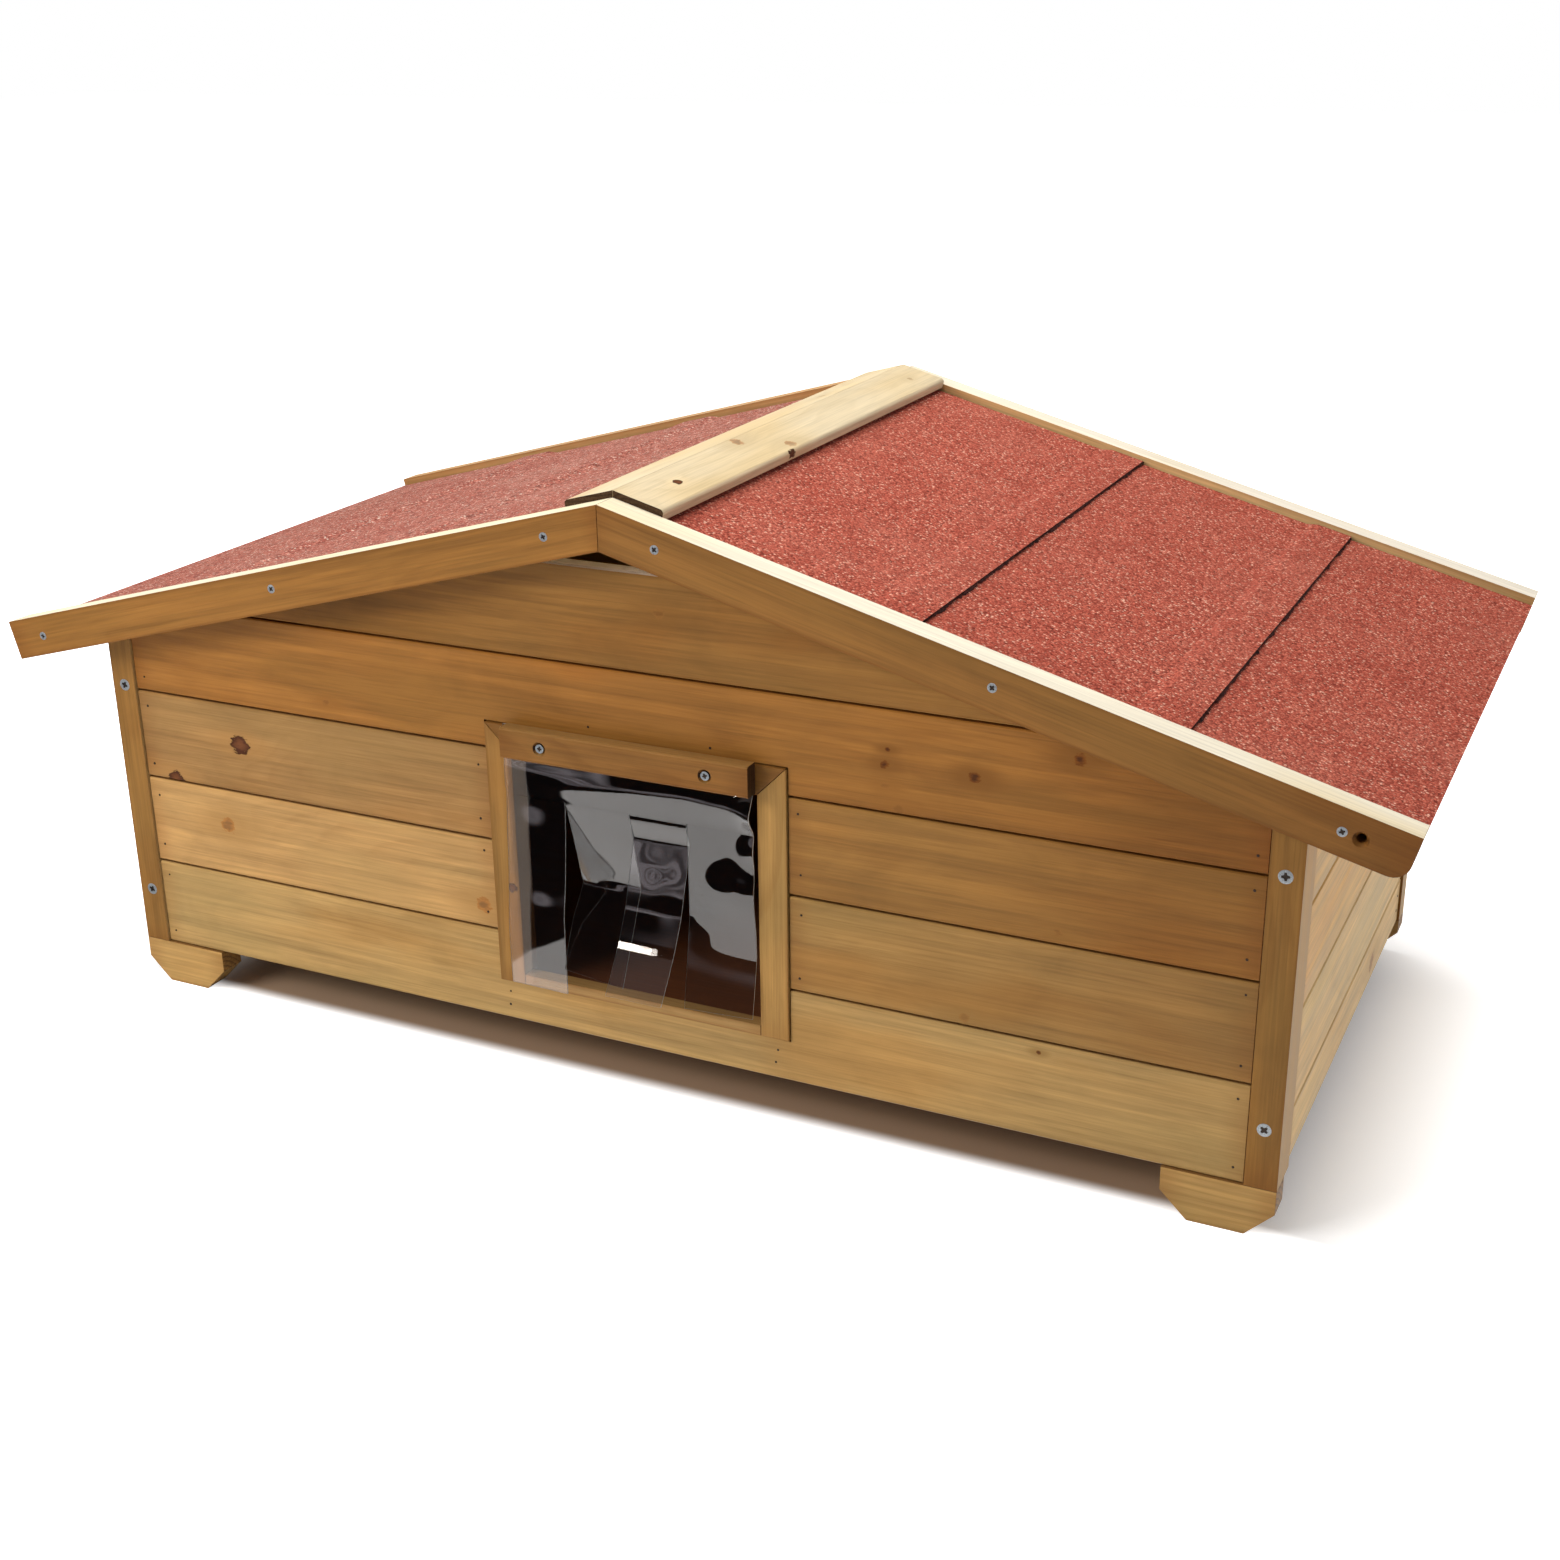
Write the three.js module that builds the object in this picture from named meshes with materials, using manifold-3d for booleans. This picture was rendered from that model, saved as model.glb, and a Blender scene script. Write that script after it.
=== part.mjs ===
import * as THREE from "three";
import { mergeVertices } from "three/addons/utils/BufferGeometryUtils.js";
import Module from "manifold-3d";

const wasm = await Module();
wasm.setup();

// Outdoor cat house, in millimetres. X runs along the front, Y to the rear, Z up.
// While it is built, the front face of the corner posts lies at y = 0.

// Walls
const wallWidth = 733;
const wallDepth = 368;
const boardPitch = 57.2;
const boardThickness = 10;
const boardRecess = 1.5;
const boardGap = 1.1;
const boardArris = 0.8;
const boardEndGap = 0.6;
const tongueLength = 4;
const tongueThickness = 3.2;
const grooveThickness = 3.8;
const gableBoardHeight = 56;
const sideTopGap = 3.4;
const wallRows = ["bottom", "second", "third", "top"];

// Corner posts: the front ones show their edge to the front, the rear ones to the side
const postThickness = 17;
const postWidth = 27;
const postLip = 10;

// Feet
const footWidth = 60;
const footHeight = 28.3;
const footThickness = 17;
const frontFootChamfer = 15;
const rearFootChamfer = 20;

// Floor
const bearerThickness = 15;
const bearerHeight = 15;
const floorThickness = 8.5;

// Door frame
const doorWidth = 154;
const frameWidth = 17;
const frameDepth = 14;
const frameHeadLap = 15.8;
const frameFootLap = 31.5;
const frameGap = 0.8;
const sillHeight = 6.3;
const sillDepth = 9;
const doorBattenWidth = 17;
const doorBattenThickness = 12;
const doorBattenRise = 28;

// Clear flap and the batten that clamps it
const sheetThickness = 1.5;
const sheetSideLap = 3.8;
const sheetSideGap = 1.7;
const slitShares = [0.245, 0.509, 0.738];
const slitWidth = 0.5;
const slitDrop = 25.2;
const stripFootGap = 6;
const lapStripExtra = 8;
const hingeGap = 0.3;
const clampHeight = 18;
const clampThickness = 9;
const clampRise = 1.5;
const clampArris = 1;

// Clamp screws
const screwPlaceShare = 0.667;
const screwHeadRadius = 3.7;
const screwHeadHeight = 2.6;
const screwShankRadius = 1.6;
const screwLength = 22;
const screwTipLength = 4;
const screwSink = 0.4;
const screwSlotWidth = 1;
const screwSlotLength = 4;
const screwSlotDepth = 1.4;
const screwHoleRadius = 2;

// Roof
const roofAngle = THREE.MathUtils.degToRad(15);
const ventHeight = 23;
const frontOverhang = 24;
const rearOverhang = 40;
const eaveOverhang = 55;
const bargeHeight = 24;
const bargeThickness = 17;
const bargeEndRadius = 9;
const openHoleInset = 25;
const openHoleRadius = 2.4;
const openHoleSinkRadius = 4;
const openHoleSinkDepth = 2;
const openHoleDepth = 12;
const mitreGap = 0.3;
const deckThickness = 11;
const deckInset = 2.4;

// Felt, laid in three lapped strips on each slope and one strip over the ridge
const feltDrop = 4.8;
const feltThickness = 1.8;
const feltLap = 22;
const feltRamp = 7;
const feltInset = 0.6;
const feltLapShares = [0.405, 0.731];
const feltNames = ["upper", "middle", "lower"];
const ridgeFeltReach = 25;

// Ridge boards
const ridgeBoardWidth = 30;
const ridgeBoardThickness = 6;
const ridgeBoardRadius = 2.5;

// Gap between pieces that touch, and how far a cutter runs past what it cuts
const fit = 0.3;
const overrun = 20;

// Facets of a round edge and of a round bar
const edgeFacets = 4;
const barFacets = 16;

const woodColour = 0xb58750;
const woodEdgeColour = 0xc9a26a;
const paleWoodColour = 0xe6d2ac;
const floorColour = 0x9c6b3c;
const feltColour = 0xb2584a;
const clearColour = 0xe6ebee;
const steelColour = 0xc4c7c9;

const group = new THREE.Group();

function addMesh(name, geometry, colour, roughness = 0.62, metalness = 0) {
  const material = new THREE.MeshStandardMaterial({
    color: colour,
    roughness,
    metalness,
  });
  const mesh = new THREE.Mesh(geometry, material);
  mesh.name = name;
  group.add(mesh);
  return mesh;
}

function outline(points) {
  return new THREE.Shape(points.map(([a, b]) => new THREE.Vector2(a, b)));
}

function extrude(shape, length) {
  return new THREE.ExtrudeGeometry(shape, {
    depth: length,
    bevelEnabled: false,
    curveSegments: edgeFacets,
  });
}

// The outline's first axis turns to Y and its second to Z.
function extrudeAlongX(shape, from, to) {
  const turn = new THREE.Matrix4().makeBasis(
    new THREE.Vector3(0, 1, 0),
    new THREE.Vector3(0, 0, 1),
    new THREE.Vector3(1, 0, 0),
  );
  return extrude(shape, to - from)
    .applyMatrix4(turn)
    .translate(from, 0, 0);
}

// The outline's first axis stays X and its second turns to Z.
function extrudeAlongY(shape, from, to) {
  const turn = new THREE.Matrix4().makeBasis(
    new THREE.Vector3(1, 0, 0),
    new THREE.Vector3(0, 0, 1),
    new THREE.Vector3(0, -1, 0),
  );
  return extrude(shape, to - from)
    .applyMatrix4(turn)
    .translate(0, to, 0);
}

function extrudeAlongZ(shape, from, to) {
  return extrude(shape, to - from).translate(0, 0, from);
}

function block(x0, x1, y0, y1, z0, z1) {
  return new THREE.BoxGeometry(x1 - x0, y1 - y0, z1 - z0).translate(
    (x0 + x1) / 2,
    (y0 + y1) / 2,
    (z0 + z1) / 2,
  );
}

// The faces of a round solid of the given radius and height, standing on z = 0.
function revolve(points) {
  const profile = points.map(([r, z]) => new THREE.Vector2(r, z));
  return new THREE.LatheGeometry(profile, barFacets).rotateX(Math.PI / 2);
}

function toSolid(geometry) {
  const plain = geometry.clone();
  plain.deleteAttribute("normal");
  plain.deleteAttribute("uv");
  const merged = mergeVertices(plain);
  return new wasm.Manifold(
    new wasm.Mesh({
      numProp: 3,
      vertProperties: new Float32Array(merged.attributes.position.array),
      triVerts: new Uint32Array(merged.index.array),
    }),
  );
}

function toGeometry(solid) {
  const mesh = solid.getMesh();
  const geometry = new THREE.BufferGeometry();
  const places = new THREE.BufferAttribute(
    Float32Array.from(mesh.vertProperties),
    mesh.numProp,
  );
  geometry.setAttribute("position", places);
  geometry.setIndex(
    new THREE.BufferAttribute(Uint32Array.from(mesh.triVerts), 1),
  );
  geometry.computeVertexNormals();
  return geometry;
}

function cut(geometry, ...cutters) {
  let solid = toSolid(geometry);
  for (const cutter of cutters) {
    solid = solid.subtract(toSolid(cutter));
  }
  return toGeometry(solid);
}

const slopeRise = Math.sin(roofAngle);
const slopeRun = Math.cos(roofAngle);
const slopeTangent = Math.tan(roofAngle);
const halfWidth = wallWidth / 2;

const feltTop = -feltDrop;
const feltBottom = feltTop - feltThickness;
const deckTop = feltBottom - fit;
const deckBottom = deckTop - deckThickness;

// The joint under a row. The lowest board's cover is the full pitch, or less where it is ripped.
function rowBottom(row, bottomCover = boardPitch) {
  return footHeight + (row > 0 ? bottomCover + (row - 1) * boardPitch : 0);
}

const gableBottom = rowBottom(wallRows.length);
const ventTop = gableBottom + gableBoardHeight + ventHeight;
const ridgeHeight = ventTop - deckBottom / slopeRun;
const bargeLength = (halfWidth + eaveOverhang) / slopeRun;

// A point of the right slope: the distance down it from the ridge, and the height over the
// plane of the barge boards' tops.
function slopePoint(distance, height) {
  return [
    distance * slopeRun + height * slopeRise,
    ridgeHeight - distance * slopeRise + height * slopeRun,
  ];
}

// The same plane where it meets the upright face beside the ridge line.
function ridgePoint(height, offset = mitreGap / 2) {
  return [offset, ridgeHeight + height / slopeRun - offset * slopeTangent];
}

function mirrored(points) {
  return points.map(([x, z]) => [-x, z]);
}

// Everything over the underside of the roof, which the walls and posts are cut to.
function roofSpace() {
  const reach = wallWidth;
  const peak = ventTop - fit;
  const shape = outline([
    [-reach, peak - reach * slopeTangent],
    [0, peak],
    [reach, peak - reach * slopeTangent],
    [reach, peak + reach],
    [-reach, peak + reach],
  ]);
  return extrudeAlongY(shape, -wallDepth, wallDepth + wallDepth);
}

const overRoof = roofSpace();

// A wall board's section: outer face towards the post faces, tongue up and groove below.
function boardOutline(bottom, top, groove, tongue) {
  const outer = boardRecess;
  const inner = boardRecess + boardThickness;
  const middle = (outer + inner) / 2;
  const grooveHalf = grooveThickness / 2;
  const tongueHalf = tongueThickness / 2;
  const points = [
    [outer, bottom + boardArris],
    [outer + boardArris, bottom],
  ];
  if (groove) {
    points.push(
      [middle - grooveHalf, bottom],
      [middle - grooveHalf, bottom + tongueLength],
      [middle + grooveHalf, bottom + tongueLength],
      [middle + grooveHalf, bottom],
    );
  }
  points.push([inner, bottom], [inner, top]);
  if (tongue) {
    points.push(
      [middle + tongueHalf, top],
      [middle + tongueHalf, top + tongueLength],
      [middle - tongueHalf, top + tongueLength],
      [middle - tongueHalf, top],
    );
  }
  points.push([outer + boardArris, top], [outer, top - boardArris]);
  return outline(points);
}

function rowBoard(row, from, to, bottomCover = boardPitch) {
  const bottom = rowBottom(row, bottomCover) + (row > 0 ? boardGap / 2 : fit);
  const top = rowBottom(row + 1, bottomCover) - boardGap / 2;
  return extrudeAlongX(boardOutline(bottom, top, row > 0, true), from, to);
}

function gableBoard(from, to) {
  const bottom = gableBottom + boardGap / 2;
  const top = gableBottom + gableBoardHeight;
  return extrudeAlongX(boardOutline(bottom, top, true, false), from, to);
}

// Turns a wall that is built as the front one to its own side of the house.
function wallPlace(side) {
  const place = new THREE.Matrix4();
  if (side === "rear") {
    place.makeRotationZ(Math.PI).setPosition(0, wallDepth, 0);
  }
  if (side === "right") {
    place.makeRotationZ(Math.PI / 2).setPosition(halfWidth, wallDepth / 2, 0);
  }
  if (side === "left") {
    place.makeRotationZ(-Math.PI / 2).setPosition(-halfWidth, wallDepth / 2, 0);
  }
  return place;
}

const doorHalfWidth = doorWidth / 2;
const doorFrameHalf = doorHalfWidth + frameWidth;
const doorBottom = rowBottom(1) - frameFootLap;
const frameTop = rowBottom(wallRows.length - 1) + frameHeadLap;
const doorTop = frameTop - frameWidth;
const frontReach = halfWidth - postThickness - boardEndGap;
const rearReach = halfWidth - postWidth - boardEndGap;
const sideFrontReach = wallDepth / 2 - postWidth - boardEndGap;
const sideRearReach = wallDepth / 2 - postThickness - boardEndGap;

function doorFrameSpace() {
  const half = doorFrameHalf + frameGap;
  return block(
    -half,
    half,
    -overrun,
    overrun,
    doorBottom - frameGap,
    frameTop + frameGap,
  );
}

function buildFrontWall() {
  const doorSpace = doorFrameSpace();
  const doorSide = doorFrameHalf + frameGap;
  const last = wallRows.length - 1;
  wallRows.forEach((row, index) => {
    const name = `front_${row}_board`;
    if (index > 0 && index < last) {
      addMesh(`${name}_left`, rowBoard(index, -frontReach, -doorSide), woodColour);
      addMesh(`${name}_right`, rowBoard(index, doorSide, frontReach), woodColour);
      return;
    }
    const board = rowBoard(index, -frontReach, frontReach);
    addMesh(name, cut(board, doorSpace, overRoof), woodColour);
  });
  addMesh(
    "front_gable_board",
    cut(gableBoard(-frontReach, frontReach), overRoof),
    woodColour,
  );
}

function buildRearWall() {
  const place = wallPlace("rear");
  wallRows.forEach((row, index) => {
    const board = rowBoard(index, -rearReach, rearReach).applyMatrix4(place);
    addMesh(`rear_${row}_board`, cut(board, overRoof), woodColour);
  });
  const board = gableBoard(-rearReach, rearReach).applyMatrix4(place);
  addMesh("rear_gable_board", cut(board, overRoof), woodColour);
}

// The side walls stop short of the roof, and their lowest boards are ripped to what is left.
function buildSideWall(side) {
  const place = wallPlace(side);
  const eave = ventTop - (halfWidth - boardRecess) * slopeTangent;
  const fullRows = (wallRows.length - 1) * boardPitch;
  const wallTop = eave - sideTopGap - tongueLength;
  const bottomCover = wallTop - footHeight - fullRows;
  const from = side === "right" ? -sideFrontReach : -sideRearReach;
  const to = side === "right" ? sideRearReach : sideFrontReach;
  wallRows.forEach((row, index) => {
    const board = rowBoard(index, from, to, bottomCover);
    addMesh(`${side}_${row}_board`, board.applyMatrix4(place), paleWoodColour);
  });
}

// A post's plan at the front right corner, with a rebate behind each wall's board ends.
function postPlan(along, across) {
  const rebate = boardRecess + boardThickness + fit;
  const inward = along + postLip;
  const back = across + postLip;
  return [
    [0, 0],
    [0, across],
    [-rebate, across],
    [-rebate, back],
    [-inward, back],
    [-inward, rebate],
    [-along, rebate],
    [-along, 0],
  ];
}

function buildPosts() {
  for (const [end, y, turnY, plan] of [
    ["front", 0, 1, postPlan(postThickness, postWidth)],
    ["rear", wallDepth, -1, postPlan(postWidth, postThickness)],
  ]) {
    for (const [side, sign] of [
      ["left", -1],
      ["right", 1],
    ]) {
      const corner = plan.map(([a, b]) => [
        sign * (halfWidth + a),
        y + turnY * b,
      ]);
      const bar = extrudeAlongZ(outline(corner), footHeight + fit, ridgeHeight);
      addMesh(`${end}_${side}_post`, cut(bar, overRoof), woodEdgeColour);
    }
  }
}

function footOutline(chamfer) {
  const half = footWidth / 2;
  return outline([
    [-half, chamfer],
    [-half + chamfer, 0],
    [half - chamfer, 0],
    [half, chamfer],
    [half, footHeight],
    [-half, footHeight],
  ]);
}

function buildFeet() {
  const half = footWidth / 2;
  for (const [end, from, chamfer] of [
    ["front", 0, frontFootChamfer],
    ["rear", wallDepth - footThickness, rearFootChamfer],
  ]) {
    for (const [side, sign] of [
      ["left", -1],
      ["right", 1],
    ]) {
      const shape = footOutline(chamfer);
      const foot = extrudeAlongY(shape, from, from + footThickness);
      foot.translate(sign * (halfWidth - half), 0, 0);
      addMesh(`${end}_${side}_foot`, foot, woodEdgeColour);
    }
  }
}

function buildFloor() {
  const wallInside = boardRecess + boardThickness + fit;
  const thinSide = postThickness + postLip + fit;
  const wideSide = postWidth + postLip + fit;
  const frontSpan = halfWidth - thinSide;
  const rearSpan = halfWidth - wideSide;
  const bottom = footHeight + fit;
  const top = bottom + bearerHeight;
  for (const [end, from, span] of [
    ["front", wallInside, frontSpan],
    ["rear", wallDepth - wallInside - bearerThickness, rearSpan],
  ]) {
    const bearer = block(
      -span,
      span,
      from,
      from + bearerThickness,
      bottom,
      top,
    );
    addMesh(`floor_${end}_bearer`, bearer, floorColour);
  }
  const panelX = halfWidth - wallInside;
  const panelFront = wallInside;
  const panelRear = wallDepth - wallInside;
  const panel = outline([
    [-frontSpan, panelFront],
    [frontSpan, panelFront],
    [frontSpan, wideSide],
    [panelX, wideSide],
    [panelX, wallDepth - thinSide],
    [rearSpan, wallDepth - thinSide],
    [rearSpan, panelRear],
    [-rearSpan, panelRear],
    [-rearSpan, wallDepth - thinSide],
    [-panelX, wallDepth - thinSide],
    [-panelX, wideSide],
    [-frontSpan, wideSide],
  ]);
  const panelBottom = top + fit;
  addMesh(
    "floor_panel",
    extrudeAlongZ(panel, panelBottom, panelBottom + floorThickness),
    floorColour,
  );
  return panelBottom + floorThickness;
}

function buildDoorFrame(floorTop) {
  const lintelShift = mitreGap * Math.SQRT2;
  const jamb = [
    [doorHalfWidth, doorBottom],
    [doorFrameHalf, doorBottom],
    [doorFrameHalf, frameTop],
    [doorHalfWidth, doorTop],
  ];
  const jambs = { left: mirrored(jamb), right: jamb };
  for (const [side, points] of Object.entries(jambs)) {
    const post = extrudeAlongY(outline(points), 0, frameDepth);
    addMesh(`door_${side}_jamb`, post, woodEdgeColour);
  }
  const lintel = outline([
    [-doorHalfWidth + lintelShift, doorTop],
    [doorHalfWidth - lintelShift, doorTop],
    [doorFrameHalf - lintelShift, frameTop],
    [-doorFrameHalf + lintelShift, frameTop],
  ]);
  addMesh(
    "door_lintel",
    cut(extrudeAlongY(lintel, 0, frameDepth), ...screwHoles()),
    woodEdgeColour,
  );
  const sillHalf = doorHalfWidth - fit;
  addMesh(
    "door_sill",
    block(-sillHalf, sillHalf, 0, sillDepth, doorBottom, doorBottom + sillHeight),
    woodEdgeColour,
  );
  const battenFront = boardRecess + boardThickness + fit;
  const battenInner = doorFrameHalf + frameGap;
  for (const [side, sign] of [
    ["left", -1],
    ["right", 1],
  ]) {
    const near = sign * battenInner;
    const far = sign * (battenInner + doorBattenWidth);
    const batten = block(
      Math.min(near, far),
      Math.max(near, far),
      battenFront,
      battenFront + doorBattenThickness,
      floorTop + fit,
      frameTop + doorBattenRise,
    );
    addMesh(`door_${side}_batten`, batten, floorColour);
  }
}

const sheetBack = -fit;
const sheetFront = sheetBack - sheetThickness;
const sheetLeft = -doorHalfWidth - sheetSideLap;
const sheetRight = doorHalfWidth - sheetSideGap;
const clampBack = sheetFront - fit;
const clampFront = clampBack - clampThickness;
const clampBottom = doorTop + clampRise;
const hingeHeight = clampBottom - slitDrop;
const screwPlace = doorHalfWidth * screwPlaceShare;
const screwHeight = clampBottom + clampHeight / 2;

// Turns a round solid that stands on z = 0 so that it runs to the rear from the given depth.
function aimRearward(geometry, x, depth, z) {
  return geometry.rotateX(-Math.PI / 2).translate(x, depth, z);
}

function screwHoles() {
  return [-screwPlace, screwPlace].map((x) => {
    const bore = revolve([
      [0, 0],
      [screwHoleRadius, 0],
      [screwHoleRadius, screwLength + overrun],
      [0, screwLength + overrun],
    ]);
    return aimRearward(bore, x, clampFront, screwHeight);
  });
}

function headSinks() {
  return [-screwPlace, screwPlace].map((x) => {
    const seat = screwHeadRadius + fit;
    const sink = revolve([
      [0, -overrun],
      [seat, -overrun],
      [seat, screwSink],
      [screwHoleRadius, screwSink + screwHeadHeight],
      [0, screwSink + screwHeadHeight],
    ]);
    return aimRearward(sink, x, clampFront, screwHeight);
  });
}

function buildClamp() {
  const half = doorHalfWidth;
  const top = clampBottom + clampHeight;
  const shape = outline([
    [clampBack, clampBottom],
    [clampBack, top],
    [clampFront + clampArris, top],
    [clampFront, top - clampArris],
    [clampFront, clampBottom + clampArris],
    [clampFront + clampArris, clampBottom],
  ]);
  const bar = extrudeAlongX(shape, -half, half);
  addMesh(
    "flap_clamp_batten",
    cut(bar, ...screwHoles(), ...headSinks()),
    woodEdgeColour,
  );
}

function buildScrews() {
  const neck = screwSink + screwHeadHeight;
  for (const [side, x] of [
    ["left", -screwPlace],
    ["right", screwPlace],
  ]) {
    const body = revolve([
      [0, screwSink],
      [screwHeadRadius, screwSink],
      [screwShankRadius, neck],
      [screwShankRadius, screwLength - screwTipLength],
      [0, screwLength],
    ]);
    const half = screwSlotLength / 2;
    const thin = screwSlotWidth / 2;
    const depth = screwSink + screwSlotDepth;
    const slotAcross = block(-half, half, -thin, thin, -overrun, depth);
    const slotDown = block(-thin, thin, -half, half, -overrun, depth);
    const screw = cut(body, slotAcross, slotDown);
    addMesh(
      `flap_clamp_screw_${side}`,
      aimRearward(screw, x, clampFront, screwHeight),
      steelColour,
      0.3,
      0.9,
    );
  }
}

// The flap: a header held under the clamp, and four strips that each hinge at the slit tops
// on a half-round upper edge. The strip that laps the left jamb hangs in front of the sill.
function buildFlap() {
  const knuckle = sheetThickness / 2;
  const axis = (sheetFront + sheetBack) / 2;
  const headerBottom = hingeHeight + knuckle + hingeGap;
  const headerTop = clampBottom + clampHeight - clampArris;
  const header = block(
    sheetLeft,
    sheetRight,
    sheetFront,
    sheetBack,
    headerBottom,
    headerTop,
  );
  addMesh("flap_header", cut(header, ...screwHoles()), clearColour, 0.08);
  const stripBottom = doorBottom + sillHeight + stripFootGap;
  const sheetWidth = sheetRight - sheetLeft;
  const slits = slitShares.map((share) => sheetLeft + share * sheetWidth);
  const edges = [sheetLeft, ...slits, sheetRight];
  edges.slice(1).forEach((edge, index) => {
    const bottom = index > 0 ? stripBottom : stripBottom - lapStripExtra;
    const shape = new THREE.Shape();
    shape.moveTo(sheetFront, bottom);
    shape.lineTo(sheetBack, bottom);
    shape.lineTo(sheetBack, hingeHeight);
    shape.absarc(axis, hingeHeight, knuckle, 0, Math.PI, false);
    shape.lineTo(sheetFront, bottom);
    const from = edges[index] + (index > 0 ? slitWidth / 2 : 0);
    const to = edge - (edge < sheetRight ? slitWidth / 2 : 0);
    const strip = extrudeAlongX(shape, from, to);
    addMesh(`flap_strip_${index + 1}`, strip, clearColour, 0.08);
  });
}

const bargeFront = -frontOverhang;
const bargeRear = wallDepth + rearOverhang;
const deckFront = bargeFront + bargeThickness + fit;
const deckRear = bargeRear - bargeThickness - fit;

function bargeOutline(rounded) {
  const shape = new THREE.Shape();
  const foot = bargeLength - bargeEndRadius;
  const rise = -bargeHeight + bargeEndRadius;
  shape.moveTo(...ridgePoint(0));
  shape.lineTo(...slopePoint(bargeLength, 0));
  if (rounded) {
    shape.lineTo(...slopePoint(bargeLength, rise));
    const [x, z] = slopePoint(foot, rise);
    const start = -roofAngle;
    shape.absarc(x, z, bargeEndRadius, start, start - Math.PI / 2, true);
  } else {
    shape.lineTo(...slopePoint(bargeLength, -bargeHeight));
  }
  shape.lineTo(...ridgePoint(-bargeHeight));
  shape.lineTo(...ridgePoint(0));
  return shape;
}

// An empty countersunk hole near the foot of the front right barge board.
function openHole() {
  const [x, z] = slopePoint(bargeLength - openHoleInset, -bargeHeight / 2);
  const hole = revolve([
    [0, -overrun],
    [openHoleSinkRadius, -overrun],
    [openHoleSinkRadius, 0],
    [openHoleRadius, openHoleSinkDepth],
    [openHoleRadius, openHoleDepth],
    [0, openHoleDepth],
  ]);
  return aimRearward(hole, x, bargeFront, z);
}

function buildBarges() {
  for (const [end, from] of [
    ["front", bargeFront],
    ["rear", bargeRear - bargeThickness],
  ]) {
    const to = from + bargeThickness;
    const left = extrudeAlongY(bargeOutline(false), -to, -from);
    left.rotateZ(Math.PI);
    addMesh(`${end}_left_barge_board`, left, woodEdgeColour);
    const right = extrudeAlongY(bargeOutline(end === "front"), from, to);
    addMesh(
      `${end}_right_barge_board`,
      end === "front" ? cut(right, openHole()) : right,
      woodEdgeColour,
    );
  }
}

function buildDecks() {
  const end = bargeLength - deckInset;
  const deck = [
    ridgePoint(deckTop),
    slopePoint(end, deckTop),
    slopePoint(end, deckBottom),
    ridgePoint(deckBottom),
  ];
  const sides = { left: mirrored(deck), right: deck };
  for (const [side, points] of Object.entries(sides)) {
    const panel = extrudeAlongY(outline(points), deckFront, deckRear);
    addMesh(`${side}_roof_deck`, panel, woodColour);
  }
}

// A felt strip lies on the deck and steps up over the head of the strip below it.
function feltStrip(head, tail, lapped) {
  const start = head > 0 ? [slopePoint(head, feltBottom)] : [ridgePoint(feltBottom)];
  const finish = head > 0 ? [slopePoint(head, feltTop)] : [ridgePoint(feltTop)];
  if (!lapped) {
    return [
      ...start,
      slopePoint(tail, feltBottom),
      slopePoint(tail, feltTop),
      ...finish,
    ];
  }
  const over = feltThickness + fit;
  const rampStart = tail - feltLap - feltRamp;
  const rampEnd = tail - feltLap;
  return [
    ...start,
    slopePoint(rampStart, feltBottom),
    slopePoint(rampEnd, feltBottom + over),
    slopePoint(tail, feltBottom + over),
    slopePoint(tail, feltTop + over),
    slopePoint(rampEnd, feltTop + over),
    slopePoint(rampStart, feltTop),
    ...finish,
  ];
}

function buildFelt() {
  const tails = feltLapShares.map((share) => share * bargeLength);
  tails.push(bargeLength);
  feltNames.forEach((name, index) => {
    const head = index > 0 ? tails[index - 1] - feltLap + fit : 0;
    const points = feltStrip(head, tails[index], index < tails.length - 1);
    const sides = { left: mirrored(points), right: points };
    for (const [side, shape] of Object.entries(sides)) {
      const from = deckFront + feltInset;
      const to = deckRear - feltInset;
      const strip = extrudeAlongY(outline(shape), from, to);
      addMesh(`${side}_felt_${name}`, strip, feltColour, 0.95);
    }
  });
}

function buildRidge() {
  const stripBase = feltTop + fit;
  const stripTop = stripBase + feltThickness;
  const boardBase = stripTop + fit;
  const boardTop = boardBase + ridgeBoardThickness;
  const half = [
    slopePoint(ridgeFeltReach, stripTop),
    slopePoint(ridgeFeltReach, stripBase),
  ];
  const fold = outline([
    ridgePoint(stripTop, 0),
    ...half,
    ridgePoint(stripBase, 0),
    ...mirrored(half).reverse(),
  ]);
  addMesh(
    "ridge_felt_strip",
    extrudeAlongY(fold, deckFront, deckRear),
    feltColour,
    0.95,
  );
  const board = new THREE.Shape();
  const inner = ridgeBoardWidth - ridgeBoardRadius;
  board.moveTo(...ridgePoint(boardBase));
  board.lineTo(...slopePoint(ridgeBoardWidth, boardBase));
  board.lineTo(...slopePoint(ridgeBoardWidth, boardTop - ridgeBoardRadius));
  const [x, z] = slopePoint(inner, boardTop - ridgeBoardRadius);
  const start = -roofAngle;
  board.absarc(x, z, ridgeBoardRadius, start, start + Math.PI / 2, false);
  board.lineTo(...ridgePoint(boardTop));
  const left = extrudeAlongY(board, -deckRear, -deckFront).rotateZ(Math.PI);
  addMesh("ridge_left_board", left, paleWoodColour);
  const right = extrudeAlongY(board, deckFront, deckRear);
  addMesh("ridge_right_board", right, paleWoodColour);
}

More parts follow.
